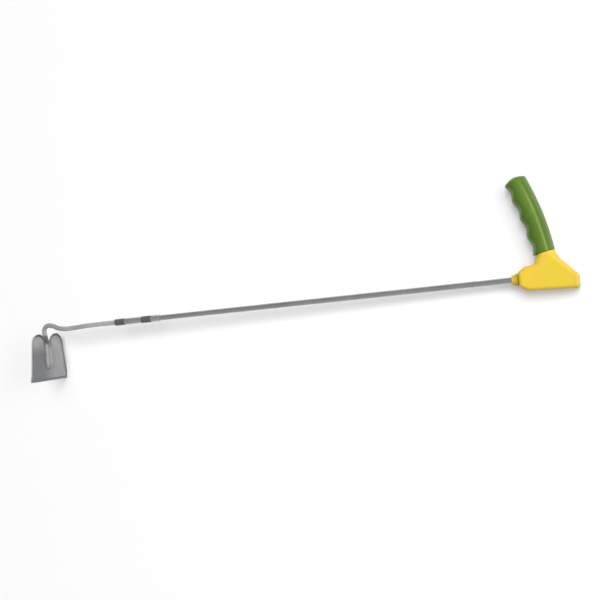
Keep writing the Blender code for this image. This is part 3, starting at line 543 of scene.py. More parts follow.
PLUG_PLASTIC = Finish(
    "plug_plastic", (0.03, 0.03, 0.03), (0.045, 0.045, 0.045), 0.55, 0.0, Pattern.MOULDED, 0.4 * MM, 0.01 * MM,
    drift=4 * MM, coordinates=Coordinates.OBJECT,
)


# Numbers of the Mix node's colour inputs and output
MIX_INPUTS, MIX_OUTPUT = (6, 7), 2

# Spans of noise, or of noise added to an edge, that a mask takes from 0 to 1
GRAIN_SPAN: Span = (0.25, 0.75)
DRIFT_SPAN: Span = (0.32, 0.68)
WEAR_SPAN: Span = (1.25, 1.85)
SMUDGE_SPAN: Span = (0.52, 0.72)
SCRATCH_SPAN: Span = (0.70, 0.76)
SCRATCHED_SPAN: Span = (0.45, 0.60)

# Weight of the noise and of the finish's own share in the wear of an edge
WEAR_NOISE, WEAR_SHARE = 0.9, 0.6

# Slant of the scratches, in radians, and how dense they are along each axis
SCRATCH_SLANT: Corner = (0.5, 0.9, 0.35)
SCRATCH_SCALE: Corner = (40.0, 1500.0, 1500.0)

# Scale of a moulding's waviness against its grain's
WAVE_SCALE = 0.05


class Wiring:
    """Short way to place and link the nodes of a material, a group or a world."""

    def __init__(self, tree: bpy.types.NodeTree) -> None:
        """Starts on an empty tree."""
        self.tree = tree
        tree.nodes.clear()

    def node(self, kind: str, inputs: dict[str | int, object] | None = None, **settings: object) -> bpy.types.Node:
        """Adds a node.

        Args:
            kind: the node's type.
            inputs: socket or plain value for each input, by name or number.
            settings: properties of the node.

        Returns:
            The node.
        """
        made = self.tree.nodes.new(kind)
        for key, value in settings.items():
            setattr(made, key, value)
        for key, value in (inputs or {}).items():
            if isinstance(value, Plug):
                self.tree.links.new(value, made.inputs[key])
            else:
                made.inputs[key].default_value = value
        return made

    def maths(self, operation: str, *terms: Plug | float) -> Plug:
        """Result of a Math node."""
        return self.node("ShaderNodeMath", dict(enumerate(terms)), operation=operation).outputs[0]

    def times(self, first: Plug | float, second: Plug | float) -> Plug:
        """Product of two terms."""
        return self.maths("MULTIPLY", first, second)

    def ramp(self, value: Plug, low: float, high: float, start: float = 0.0, end: float = 1.0) -> Plug:
        """Smooth step of a value between low and high, from start to end."""
        inputs = {"Value": value, "From Min": low, "From Max": high, "To Min": start, "To Max": end}
        return self.node("ShaderNodeMapRange", inputs, interpolation_type="SMOOTHSTEP").outputs[0]

    def noise(self, vector: Plug, scale: Plug | float, **inputs: Plug | float) -> Plug:
        """Noise on a vector."""
        return self.node("ShaderNodeTexNoise", {"Vector": vector, "Scale": scale, **inputs}).outputs[0]

    def mixed(self, factor: Plug, first: Plug | Colour, second: Plug | Colour) -> Plug:
        """Colour between two others.

        Args:
            factor: how far it is from the first to the second.
            first: socket or linear colour.
            second: socket or linear colour.

        Returns:
            The mixed colour.
        """
        ends = [end if isinstance(end, Plug) else (*end, 1.0) for end in (first, second)]
        inputs = {0: factor, **dict(zip(MIX_INPUTS, ends))}
        return self.node("ShaderNodeMix", inputs, data_type="RGBA").outputs[MIX_OUTPUT]

    def attribute(self, mark: Mark) -> Plug:
        """Value of a mark."""
        return self.node("ShaderNodeAttribute", attribute_name=mark.value).outputs["Fac"]


class Group(Wiring):
    """Node group that turns a vector into masks or heights."""

    def __init__(self, name: str, inputs: dict[str, float | Corner], outputs: list[str]) -> None:
        """Starts the group.

        Args:
            name: its name.
            inputs: value of each input beside the vector, where nothing is linked.
            outputs: names of its results.
        """
        super().__init__(bpy.data.node_groups.new(name, "ShaderNodeTree"))
        sockets = [("Vector", "INPUT", (0.0, 0.0, 0.0)), *((label, "INPUT", value) for label, value in inputs.items())]
        for label, side, value in sockets + [(label, "OUTPUT", 0.0) for label in outputs]:
            kind = "NodeSocketVector" if isinstance(value, tuple) else "NodeSocketFloat"
            self.tree.interface.new_socket(label, in_out=side, socket_type=kind).default_value = value
        self.given = self.node("NodeGroupInput").outputs
        self.vector = self.given["Vector"]
        self.asked = self.node("NodeGroupOutput").inputs

    def give(self, label: str, result: Plug) -> None:
        """Links a result to an output."""
        self.tree.links.new(result, self.asked[label])

    def on(self, wiring: Wiring, vector: Plug, **inputs: Plug | float | Corner) -> bpy.types.Node:
        """Places the group on a vector, with its own values."""
        return wiring.node("ShaderNodeGroup", {"Vector": vector, **inputs}, node_tree=self.tree)


def stretched_grain() -> Group:
    """Noise stretched differently along each axis, for drawn, turned and rolled metal.

    Returns:
        The group, which gives the grain.
    """
    group = Group("stretched_grain", {"Stretch": (1.0, 1.0, 1.0), "Detail": 4.0}, ["Grain"])
    scaled = group.node("ShaderNodeVectorMath", {0: group.vector, 1: group.given["Stretch"]}, operation="MULTIPLY")
    noise = group.noise(scaled.outputs[0], 1.0, Detail=group.given["Detail"])
    group.give("Grain", group.ramp(noise, *GRAIN_SPAN))
    return group


def slow_drift() -> Group:
    """Soft, large patches.

    Returns:
        The group, which gives a value between 0 and 1.
    """
    group = Group("slow_drift", {"Scale": 30.0}, ["Drift"])
    noise = group.noise(group.vector, group.given["Scale"], Detail=2.0, Roughness=0.45)
    group.give("Drift", group.ramp(noise, *DRIFT_SPAN))
    return group


def worn_edge() -> Group:
    """Breaks an edge mark up, so that wear comes and goes along the edge.

    The wear is a ramp of edge + WEAR_NOISE noise + WEAR_SHARE share.

    Returns:
        The group, which gives how worn the edge is.
    """
    group = Group("worn_edge", {"Edge": 0.0, "Scale": 400.0, "Share": 0.5}, ["Wear"])
    noise = group.noise(group.vector, group.given["Scale"], Detail=3.0)
    broken = group.maths("ADD", group.given["Edge"], group.times(noise, WEAR_NOISE))
    raised = group.maths("ADD", broken, group.times(group.given["Share"], WEAR_SHARE))
    group.give("Wear", group.ramp(raised, *WEAR_SPAN))
    return group


def use_marks() -> Group:
    """Scattered smudges, and fine slanting scratches that come in the same places.

    Returns:
        The group, which gives a mask for each.
    """
    group = Group("use_marks", {"Scale": 60.0}, ["Smudge", "Scratch"])
    wide = group.noise(group.vector, group.given["Scale"], Detail=5.0, Roughness=0.62, Distortion=0.4)
    group.give("Smudge", group.ramp(wide, *SMUDGE_SPAN))
    slant = {"Vector": group.vector, "Rotation": SCRATCH_SLANT, "Scale": SCRATCH_SCALE}
    lines = group.noise(group.node("ShaderNodeMapping", slant).outputs[0], 1.0, Detail=1.0)
    group.give("Scratch", group.times(group.ramp(lines, *SCRATCH_SPAN), group.ramp(wide, *SCRATCHED_SPAN)))
    return group


def moulded_grain() -> Group:
    """Fine spark grain of a moulded part over a slow waviness.

    Returns:
        The group, which gives the relief: the distance to the nearest of scattered points, plus noise.
    """
    group = Group("moulded_grain", {"Scale": 3000.0}, ["Grain"])
    scale = group.given["Scale"]
    cells = group.node("ShaderNodeTexVoronoi", {"Vector": group.vector, "Scale": scale}, feature="SMOOTH_F1")
    wave = group.noise(group.vector, group.times(scale, WAVE_SCALE), Detail=2.0)
    group.give("Grain", group.maths("ADD", cells.outputs["Distance"], wave))
    return group


@dataclass(frozen=True)
class PlateShade:
    """Shade over the lower part of a plate and one of its sides, from places across and down the plate.

    Attributes:
        side_down: depths between which the side's shade grows.
        side_across: places across between which it grows.
        low_down: depths between which the lower part's shade grows.
        low_share: how strong that shade is.
    """

    side_down: Span = mm(9.0, 35.0)
    side_across: Span = mm(-34.0, 20.0)
    low_down: Span = mm(30.0, 70.0)
    low_share: float = 0.4

    def group(self) -> Group:
        """Builds the shade's node group.

        Returns:
            The group, which gives the stronger of the two shades.
        """
        group = Group("plate_shade", {}, ["Shade"])
        place = group.node("ShaderNodeSeparateXYZ", {0: group.vector})
        across, down = place.outputs["X"], place.outputs["Y"]
        side = group.times(group.ramp(down, *self.side_down), group.ramp(across, *self.side_across))
        group.give("Shade", group.maths("MAXIMUM", side, group.ramp(down, *self.low_down, 0.0, self.low_share)))
        return group


@dataclass
class Paintshop:
    """Builds the shared node groups once and a material for each finish.

    Attributes:
        grain_tone: how far the grain shifts the colour.
        tone_rough: how far the tone shifts the roughness.
        smudge_rough: how far a smudge roughens the surface.
        smudge_scale: smudges for each length of drift.
        wear_scale: worn spots for each length of drift.
    """

    grain_tone: float = 0.35
    tone_rough: float = 0.10
    smudge_rough: float = 0.2
    smudge_scale: float = 0.7
    wear_scale: float = 6.0
    made: dict[str, bpy.types.Material] = field(default_factory=dict)

    def __post_init__(self) -> None:
        """Builds the node groups."""
        self.grain, self.drift, self.wear = stretched_grain(), slow_drift(), worn_edge()
        self.marks, self.mould, self.shade = use_marks(), moulded_grain(), PlateShade().group()

    def material(self, finish: Finish) -> bpy.types.Material:
        """The finish's material, built the first time it is asked for.

        Args:
            finish: the finish's values.

        Returns:
            The material.
        """
        if finish.name not in self.made:
            self.made[finish.name] = self.build(finish)
        return self.made[finish.name]

    def build(self, finish: Finish) -> bpy.types.Material:
        """Wires one material.

        Args:
            finish: the finish's values.

        Returns:
            The material: colour from drift, grain, marks of use, worn edges and bands, roughness from the same
            masks, and relief from the grain.
        """
        material = bpy.data.materials.new(finish.name)
        material.use_nodes = True
        wiring = Wiring(material.node_tree)
        kind, output, settings = finish.coordinates.value
        vector = wiring.node(kind, **settings).outputs[output]
        drift = self.drift.on(wiring, vector, Scale=1 / finish.drift).outputs["Drift"]
        if finish.pattern is Pattern.MOULDED:
            grain = self.mould.on(wiring, vector, Scale=1 / finish.grain).outputs["Grain"]
        else:
            stretch = tuple(share / finish.grain for share in finish.pattern.value)
            grain = self.grain.on(wiring, vector, Stretch=stretch, Detail=4.0).outputs["Grain"]
        marks = self.marks.on(wiring, vector, Scale=self.smudge_scale / finish.drift).outputs
        tone = wiring.maths("ADD", wiring.times(drift, finish.drift_share), wiring.times(grain, self.grain_tone))
        smudge = wiring.times(marks["Smudge"], finish.stain_share)
        colour = wiring.mixed(smudge, wiring.mixed(tone, finish.colour, finish.second), finish.stain_colour)
        colour = wiring.mixed(wiring.times(marks["Scratch"], finish.stain_share), colour, finish.edge_colour)
        rough = wiring.maths("ADD", wiring.times(tone, self.tone_rough), finish.roughness - self.tone_rough / 2)
        rough = wiring.maths("ADD", rough, wiring.times(smudge, self.smudge_rough))
        if finish.edge_share:
            inputs = {"Edge": wiring.attribute(Mark.EDGE), "Scale": self.wear_scale / finish.drift}
            wear = self.wear.on(wiring, vector, **inputs, Share=finish.edge_share)
            colour = wiring.mixed(wear.outputs["Wear"], colour, finish.edge_colour)
        for band in finish.bands:
            mark = wiring.attribute(band.mark)
            if band.mark is Mark.SHADE:
                mark = wiring.times(mark, self.shade.on(wiring, vector).outputs["Shade"])
            left = wiring.times(mark, wiring.maths("SUBTRACT", 1.0, wiring.times(marks["Smudge"], band.breakup)))
            colour = wiring.mixed(wiring.times(left, band.share), colour, band.colour)
            rough = wiring.maths("ADD", rough, wiring.times(left, band.roughness))
        bump = wiring.node("ShaderNodeBump", {"Height": grain, "Strength": 1.0, "Distance": finish.depth})
        shader = wiring.node("ShaderNodeBsdfPrincipled", {
            "Base Color": colour, "Roughness": rough, "Normal": bump.outputs[0], "Metallic": finish.metallic,
            "Coat Weight": finish.coat, "Specular IOR Level": finish.reflect, "Specular Tint": (*finish.tint, 1.0),
        })
        wiring.node("ShaderNodeOutputMaterial", {"Surface": shader.outputs[0]})
        return material


class Workbench:
    def __init__(self, nodes: dict[str, bpy.types.Object]) -> None:
        """Reads the tool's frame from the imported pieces.

        Args:
            nodes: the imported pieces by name.
        """
        self.nodes = nodes
        self.frame = ToolFrame.from_nodes(nodes)
        self.paints = Paintshop()

    def finished(self, skin: Skin, name: str, finish: Finish, slot: str, *replaced: str) -> bpy.types.Object:
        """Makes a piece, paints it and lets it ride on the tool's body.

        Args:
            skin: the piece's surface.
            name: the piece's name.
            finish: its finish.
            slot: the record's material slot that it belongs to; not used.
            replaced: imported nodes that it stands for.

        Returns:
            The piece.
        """
        piece = skin.to_object(name, self.frame)
        piece.data.materials.append(self.paints.material(finish))
        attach(piece, BODY)
        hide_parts(*replaced)
        LOG.info("%s: %d faces, stands for %s", name, len(piece.data.polygons), ", ".join(replaced))
        return piece

    def keep(self, finish: Finish, *names: str) -> None:
        """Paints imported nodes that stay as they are.

        Args:
            finish: their finish.
            names: the nodes.
        """
        for name in names:
            materials = self.nodes[name].data.materials
            materials.clear()
            materials.append(self.paints.material(finish))
            LOG.info("%s: packed node kept", name)


# Sub-assemblies


@dataclass
class Blade:
    """Pressed blade with two lobes, its rim curled towards the handle and its low edge ground."""

    top_x: float = -733.5 * MM
    top_y: float = -6.1 * MM
    lean: float = math.radians(0.6)
    height: float = 74.9 * MM
    thickness: float = 2.2 * MM
    lobe_radius: float = 15.75 * MM
    lobe_spacing: float = 41.0 * MM
    side_flare: float = math.radians(7.0)
    notch_straight: float = 0.2 * MM
    corner_radius: float = 1.6 * MM
    corner_clearance: float = 0.12 * MM
    lip_width: float = 5.0 * MM
    lip_rise: float = 1.3 * MM
    lip_fade: float = 9.0 * MM
    lip_start: float = 0.45
    bevel: float = 4.5 * MM
    bevel_fade: Span = mm(-0.2, 0.6)
    edge: float = 0.6 * MM
    edge_round: float = 0.45 * MM
    face_insets: tuple[float, ...] = mm(6.0, 5.4, 5.0, 4.5, 4.0, 3.4, 2.8, 2.2, 1.6, 1.1, 0.75)
    # Painted shade on the lip: where it fades in from the edge, how weak it is away from the curl, and where it fades
    # to each side.
    rim_shade_fade: Span = (0.5, 1.05)
    rim_shade_least: float = 0.65
    upper_rim_shade_end: Span = mm(24.0, 32.0)
    lower_rim_shade_end: Span = mm(28.0, 36.0)
    lower_rim_shade_drop: float = 0.45
    wall_light: float = 0.8
    notch_steps: int = 14
    lobe_steps: int = 72
    side_steps: int = 40
    bevel_steps: int = 6
    corner_steps: int = 8
    bottom_steps: int = 24
    round_steps: int = 5
    sharp_angle: float = 28.0

    @property
    def notch_floor(self) -> float:
        """Depth of the notch's floor below the blade's top."""
        return self.notch_straight + self.lobe_spacing / 2

    def on_plate(self, down: np.ndarray, out: np.ndarray, across: np.ndarray | float = 0.0) -> np.ndarray:
        """Point at a depth down the plate, a height out of its handle side and a place across it.

        With the plate leaning by a: x = x0 - down sin a + out cos a, y = y0 - down cos a - out sin a, z = across.

        Args:
            down: distance below the top.
            out: distance out of the face that looks at the handle.
            across: distance from the middle.

        Returns:
            Points in the tool's frame.
        """
        sine, cosine = math.sin(self.lean), math.cos(self.lean)
        x = self.top_x - down * sine + out * cosine
        y = self.top_y - down * cosine - out * sine
        return np.stack(np.broadcast_arrays(x, y, across), axis=-1)

    def half_outline(self, inset: np.ndarray) -> tuple[np.ndarray, np.ndarray]:
        """Half of the outline for each inset, from the notch's floor over a lobe to the middle of the low edge.

        The notch's radius grows by the inset and the lobe's shrinks by it. The side flares by a fixed angle from
        where it leaves the lobe, with one run of points to the bevel's start, or to just above the corner where
        that is higher, and one to the corner, which is an arc of a fixed radius.

        Args:
            inset: column of distances from the edge.

        Returns:
            Depths and places across, one row for each inset.
        """
        offset = self.lobe_spacing / 2
        notch = offset - self.lobe_radius + inset
        turn = quarter(self.notch_steps)
        parts = [(self.lobe_radius + self.notch_straight + notch * np.cos(turn), notch * np.sin(turn))]
        lobe = self.lobe_radius - inset
        turn = np.linspace(np.pi, self.side_flare, self.lobe_steps + 1)
        parts.append((self.lobe_radius - lobe * np.sin(turn), offset + lobe * np.cos(turn)))
        leave_down, leave_across = parts[-1][0][:, -1:], parts[-1][1][:, -1:]
        bottom = self.height - inset
        slope = math.tan(self.side_flare)
        low = bottom - self.corner_radius
        start = np.minimum(self.height - self.bevel, low - self.corner_clearance)
        upper = leave_down + (start - leave_down) * np.linspace(0, 1, self.side_steps + 1)[1:]
        lower = start + (low - start) * np.linspace(0, 1, self.bevel_steps + 1)[1:]
        side = np.concatenate([upper, lower], axis=1)
        parts.append((side, leave_across + (side - leave_down) * slope))
        corner = leave_across + (bottom - leave_down) * slope - self.corner_radius
        turn = quarter(self.corner_steps)[1:]
        parts.append((low + self.corner_radius * np.sin(turn), corner + self.corner_radius * np.cos(turn)))
        share = np.linspace(1, 0, self.bottom_steps + 1)[1:]
        parts.append((bottom + 0 * share, corner * share))
        down, across = (np.concatenate([part[k] for part in parts], axis=1) for k in (0, 1))
        return down, across

    def lip_share(self, down: np.ndarray) -> np.ndarray:
        """Share of the rim's curl at each outline point.

        Args:
            down: depths of half an outline, from the notch's floor to the middle of the low edge.

        Returns:
            0 in the notch, growing as a smooth step to 1 up the lobe's inner side, and falling back to 0 down the
            outer side to the bevel.
        """
        from_notch = smooth_step(-down, -self.lobe_radius - self.notch_straight, -self.lobe_radius * self.lip_start)
        low = self.height - self.bevel
        from_edge = smooth_step(-down, -low, -(low - self.lip_fade))
        to_crest = self.notch_steps + 1 + self.lobe_steps // 2 + 1
        return np.where(np.arange(down.shape[1]) < to_crest, from_notch, from_edge)

    def skin(self) -> Skin:
        """Plate from the middle of its back over the rounded rim to the middle of its face.

        The rim rises as lip_rise (1 - inset / lip_width)^2, its edge is a quarter circle to each side, and the
        ground bevel cuts the face to out <= -slope (down - start); the bevel's darker colour is painted shade. The
        dark rim is painted shade on the face's lip, at its full strength where the lip is, and fades across the
        blade on both sides, less on the lower.

        Returns:
            The blade's skin with its wall, its painted rim shade, its bevel and its painted shade marked.
        """
        flat = np.array(self.face_insets)
        turn = quarter(self.round_steps)
        corner, drop = self.edge_round * (1 - np.sin(turn)), self.edge_round * (1 - np.cos(turn))
        inset = np.concatenate([flat, corner, corner[::-1], flat[::-1]])[:, None]
        level = np.concatenate([0 * flat - self.thickness, drop - self.thickness, -drop[::-1], 0 * flat])[:, None]
        wall = np.repeat([0.0, 1.0, 0.0], [len(flat), 2 * len(corner), len(flat)])[:, None]
        face = np.repeat([0.0, 1.0], [len(flat) + 2 * len(corner), len(flat)])[:, None]
        down, across = self.half_outline(inset)
        share = self.lip_share(self.half_outline(np.zeros((1, 1)))[0])
        out = level + self.lip_rise * np.clip(1 - inset / self.lip_width, 0, 1) ** 2 * share
        start = self.height - self.bevel
        slope = (self.thickness - self.edge) / self.bevel
        out = np.where(down > start, np.minimum(out, -slope * (down - start)), out)
        # Ground bevel on the face: smoother, and its darker colour is painted shade.
        ground = smooth_step(down, *(start + np.array(self.bevel_fade))) * face
        # Painted shade on the curled lip, strongest where the lip curls.
        on_lip = face * (1 - smooth_step(inset, *(self.lip_width * np.array(self.rim_shade_fade))))
        rim = on_lip * (self.rim_shade_least + (1 - self.rim_shade_least) * share)
        half = down.shape[1]
        grids = (down, across, out, ground, rim)
        down, across, out, ground, rim = (np.concatenate([grid, grid[:, -2:0:-1]], axis=1) for grid in grids)
        across[:, half:] *= -1
        # The lip's painted shade fades out on the upper side and partly on the lower side.
        upper_side = smooth_step(across, *self.upper_rim_shade_end)
        lower_side = self.lower_rim_shade_drop * smooth_step(-across, *self.lower_rim_shade_end)
        marks = {
            Mark.EDGE: wall, Mark.RIM_SHADE: rim * (1 - upper_side) * (1 - lower_side), Mark.GROUND_SHADE: ground,
            Mark.SHADE: 1 - self.wall_light * wall,
        }
        laid = np.stack([across, down, out], axis=-1)
        return Skin(self.on_plate(down, out, across), laid=laid, marks=marks, sharp=self.sharp_angle)

    def build(self, bench: Workbench) -> None:
        """Makes the blade."""
        even_shading(bench.finished(self.skin(), "blade_plate", BLADE_STEEL, "blade_steel", "hoe_blade"))


@dataclass
class Joint:
    """Sleeve that joins rod and shaft, with two dark rings pressed into it."""

    rear: float = -521.0 * MM
    length: float = 80.5 * MM
    rod_depth: float = 37.0 * MM
    spigot_depth: float = 40.0 * MM
    diameter: float = 10.0 * MM
    bore: float = 7.8 * MM
    chamfer: float = 0.5 * MM
    groove: float = 0.7 * MM
    edge_round: float = 0.22 * MM
    ring_diameter: float = 10.3 * MM
    ring_wall: float = 0.5 * MM
    ring_length: float = 17.0 * MM
    ring_gap: float = 0.3 * MM
    ring_crown: float = 0.06 * MM
    ring_round: float = 0.32 * MM
    round_steps: int = 4
    ring_round_steps: int = 5
    front_inset: float = 2.2 * MM
    rear_inset: float = 14.5 * MM
    sides: int = 96

    @property
    def front(self) -> float:
        """Where the sleeve starts, on the blade's side."""
        return self.rear - self.length

    def ring_fronts(self) -> Span:
        """Where each ring starts."""
        return self.front + self.front_inset, self.rear - self.rear_inset - self.ring_length

    def sleeve_skin(self) -> Skin:
        """Sleeve turned from its profile, with a groove under each ring.

        Returns:
            The sleeve's skin.
        """
        outer, bore = self.diameter / 2, self.bore / 2
        low = outer - self.groove
        profile = [(self.front, bore), (self.front, outer - self.chamfer), (self.front + self.chamfer, outer)]
        for start in self.ring_fronts():
            end = start + self.ring_length + self.ring_gap
            profile += [(start - self.ring_gap, outer), (start - self.ring_gap, low), (end, low), (end, outer)]
        profile += [(self.rear - self.chamfer, outer), (self.rear, outer - self.chamfer), (self.rear, bore)]
        return Skin.turned(profile, self.edge_round, self.round_steps, self.sides)

    def ring_skin(self, start: float) -> Skin:
        """Ring turned from a thin profile whose outer face is very slightly crowned.

        Args:
            start: where the ring starts.

        Returns:
            The ring's skin, with no worn edge on its crown.
        """
        outer = self.ring_diameter / 2
        inner, low = outer - self.ring_wall, outer - self.ring_crown
        end = start + self.ring_length
        middle = (start + end) / 2
        profile = [(start, inner), (start, low), (middle, outer), (end, low), (end, inner)]
        skin = Skin.turned(profile, self.ring_round, self.ring_round_steps, self.sides)
        flat = np.abs(skin.points[:, :1, 0] - middle) < self.ring_length / 4
        skin.marks[Mark.EDGE] = np.where(flat, 0, skin.marks[Mark.EDGE])
        return skin

    def build(self, bench: Workbench) -> None:
        """Makes the sleeve and its rings.

        Args:
            bench: makes and paints the pieces.
        """
        bench.finished(self.sleeve_skin(), "sleeve", SLEEVE_STEEL, "sleeve_steel", "joint_sleeve")
        for end, start in zip(("front", "rear"), self.ring_fronts()):
            ring = self.ring_skin(start)
            bench.finished(ring, f"dark_ring_{end}", RING_STEEL, "ring_steel", f"{end}_locking_ring")


@dataclass
class NeckRod:
    """Round bar bent into a swan neck, its toe drawn down and lying on the blade."""

    blade: Blade
    joint: Joint
    diameter: float = 7.4 * MM
    straight_end: float = -648.0 * MM
    lead_in: float = 12.0 * MM
    bends: tuple[Span, ...] = (
        mm(-691.0, -1.6), mm(-708.0, 0.4), mm(-720.0, 4.9), mm(-730.5, 6.2), mm(-736.8, 0.8), mm(-737.4, -7.0),
        mm(-735.2, -16.5),
    )
    approach: tuple[Span, ...] = (mm(16.4, 2.6), mm(19.3, 3.65))
    toe_start: float = 22.3 * MM
    toe_full_end: float = 31.1 * MM
    toe_to_edge: float = 17.5 * MM
    toe_taper: float = 11.0 * MM
    tip_diameter: float = 3.4 * MM
    tip_length: float = 1.2 * MM
    tip_bluntness: float = 0.7
    tip_sink: float = 0.9
    seat: float = 0.08 * MM
    # Where and how strongly the rod is coloured darker.
    darkening_start: Span = mm(-1.0, 6.0)
    darkening_end: Span = mm(12.0, 27.0)
    toe_darkening: float = 0.5
    bend_span: Span = mm(680.0, 712.0)
    bend_darkening: float = 0.33
    stretch_steps: int = 14
    toe_steps: int = 33
    tip_steps: int = 8
    sides: int = 64

    @property
    def toe_end(self) -> float:
        """Depth of the toe's tip below the blade's top."""
        return self.blade.height - self.toe_to_edge

    def toe_radius(self, down: np.ndarray) -> np.ndarray:
        """Radius on the blade: the rod's, drawn down to the tip's as a smooth step."""
        share = smooth_step(down, self.toe_end - self.toe_taper, self.toe_end)
        return self.diameter / 2 + (self.tip_diameter - self.diameter) / 2 * share

    def height_over_plate(self, down: np.ndarray) -> np.ndarray:
        """Height of the centre line over the blade's face.

        Args:
            down: depths below the blade's top.

        Returns:
            The height at each depth, read from the stretch after the neck's foremost point.
        """
        path = self.course()[0]
        base, deeper, further = (self.blade.on_plate(*spot) for spot in ((0.0, 0.0), (1.0, 0.0), (0.0, 1.0)))
        depth, height = (path - base) @ (deeper - base), (path - base) @ (further - base)
        last = np.arange(len(path)) > np.argmin(path[:, 0])
        return np.interp(down, depth[last], height[last])

    def course(self) -> tuple[np.ndarray, np.ndarray]:
        """Flowing path through the bends, then the toe on the plate, then its round tip.

        Returns:
            Points of the centre line, and the radius at each.
        """
        radius = self.diameter / 2
        lie = radius + self.seat
        control = [(self.straight_end + self.lead_in, 0.0), (self.straight_end, 0.0), *self.bends]
        plate = [*self.approach, (self.toe_start, lie), (self.toe_full_end, lie)]
        path = flowing_path(np.array(control + [self.blade.on_plate(*spot)[:2] for spot in plate]), self.stretch_steps)
        down = np.linspace(self.toe_full_end, self.toe_end - self.tip_length, self.toe_steps + 1)[1:]
        radii = self.toe_radius(down)
        toe = self.blade.on_plate(down, radii + self.seat)[:, :2]
        turn = quarter(self.tip_steps)[1:-1]
        tip_down = down[-1] + radii[-1] * self.tip_bluntness * np.sin(turn)
        tip = self.blade.on_plate(tip_down, radii[-1] * self.tip_sink + 0 * turn + self.seat)[:, :2]
        line = np.concatenate([[[self.joint.front + self.joint.rod_depth, 0.0]], path, toe, tip])
        size = np.concatenate([np.full(len(path) + 1, radius), radii, radii[-1] * np.cos(turn)])
        return np.concatenate([line, np.zeros((len(line), 1))], axis=1), size

    def skin(self) -> Skin:
        """Circle carried along the centre line: c + r (n cos a + k sin a), n square to the line in its plane.

        Returns:
            The rod's skin, marked darker at its last bend and above the toe, and less along the toe.
        """
        path, radius = self.course()
        tangent = unit(np.gradient(path, axis=0))
        normal = np.cross([0.0, 0.0, 1.0], tangent)
        turn = around(self.sides)[None, :, None]
        ring = normal[:, None] * np.cos(turn) + np.array([0.0, 0.0, 1.0]) * np.sin(turn)
        points = path[:, None] + ring * radius[:, None, None]
        run = np.concatenate([[0], np.cumsum(np.linalg.norm(np.diff(path, axis=0), axis=1))])
        reach, angle = radius[:, None] * np.ones((1, self.sides)), turn[:, :, 0]
        laid = np.stack([run[:, None] + 0 * reach, reach * np.cos(angle), reach * np.sin(angle)], axis=-1)
        below = self.blade.top_y - path[:, 1]
        bend = self.bend_darkening * smooth_step(-path[:, 0], *self.bend_span)
        darkening = smooth_step(below, *self.darkening_start) * (1 - (1 - self.toe_darkening) * smooth_step(below, *self.darkening_end))
        return Skin(points, laid=laid, marks={Mark.DARKENED: np.maximum(bend, darkening)[:, None]})

    def build(self, bench: Workbench) -> None:
        """Makes the rod."""
        bench.finished(self.skin(), "swan_neck_rod", ROD_STEEL, "rod_steel", "neck_rod")


@dataclass
class ToeWelds:
    """Fillet welds in the two corners between the toe and the blade."""

    rod: NeckRod
    start_before_floor: float = 5.4 * MM
    end_before_tip: float = 2.2 * MM
    fade: float = 2.2 * MM
    leg: float = 1.75 * MM
    climb: float = 0.52
    climb_limits: Span = (-0.98, 0.6)
    belly: float = 0.22 * MM
    swell: float = 0.8
    bow: float = 0.8 * MM
    ripple_pitch: float = 1.7 * MM
    ripple: float = 0.10 * MM
    ripple_share: float = 0.14
    ripple_power: float = 0.7
    wander: tuple[Span, Span] = ((0.12, 1.3), (0.08, 3.1))
    clearance: float = 0.01 * MM
    least_across: float = 0.4 * MM
    under_height: float = 0.6
    under_tuck: float = 0.5
    rows: int = 150
    face_steps: int = 12
    back_steps: int = 3
    sharp_angle: float = 60.0

    def skin(self, side: int) -> Skin:
        """Ripples laid along the toe.

        Across the weld s runs from the plate (0, one leg out from the rod) up to the rod (1), with a belly of
        belly sin(pi s). With d the depth and w = |sin(pi (d + 4 bow (s - 1/2)^2) / pitch)|^power, the leg is
        leg (1 - share + share w + wander), where wander is the sum of two slow sines of d, and leg and belly
        fade to nothing at both ends as the root of the distance.

        Args:
            side: 1 for the upper side, -1 for the lower.

        Returns:
            The weld's skin.
        """
        blade = self.rod.blade
        first = blade.notch_floor - self.start_before_floor
        last = self.rod.toe_end - self.end_before_tip
        down = np.linspace(first, last, self.rows)[:, None]
        share = np.linspace(0, 1, self.face_steps + 1)[None, :]
        ends = np.sqrt(np.clip(np.minimum(down - first, last - down) / self.fade, 0, 1))
        bow = self.bow * (share - 0.5) ** 2 * 4
        wave = np.abs(np.sin(np.pi * (down + bow) / self.ripple_pitch)) ** self.ripple_power
        (broad, slow), (fine, quick) = self.wander
        wander = broad * np.sin(down / MM * slow + side) + fine * np.sin(down / MM * quick)
        size = self.leg * ends * (1 - self.ripple_share + self.ripple_share * wave + wander)
        radius = self.rod.toe_radius(down)
        angle = np.arcsin(np.clip(-1 + self.climb * 2 * ends, *self.climb_limits))
        top_out, top_across = self.rod.height_over_plate(down) + radius * np.sin(angle), radius * np.cos(angle)
        lift = (self.belly + self.ripple * wave) * np.sin(np.pi * share) * ends * self.swell
        under = np.linspace(0, 1, self.back_steps + 1)[None, 1:]
        back_out = np.maximum(top_out * (1 - under), 2 * self.clearance) * self.under_height + self.clearance
        back_across = np.maximum(top_across * (1 - self.under_tuck * under), self.least_across)
        out = np.concatenate([top_out * share + lift + 2 * self.clearance, back_out], axis=1)
        across = np.concatenate([(radius + size) * (1 - share) + top_across * share + lift, back_across], axis=1)
        return Skin(blade.on_plate(down, out, side * across), sharp=self.sharp_angle)

    def build(self, bench: Workbench) -> None:
        """Makes both welds."""
        for side, name in ((1, "upper"), (-1, "lower")):
            bench.finished(self.skin(side), f"toe_weld_{name}", WELD_STEEL, "weld_steel", f"weld_bead_{name}")


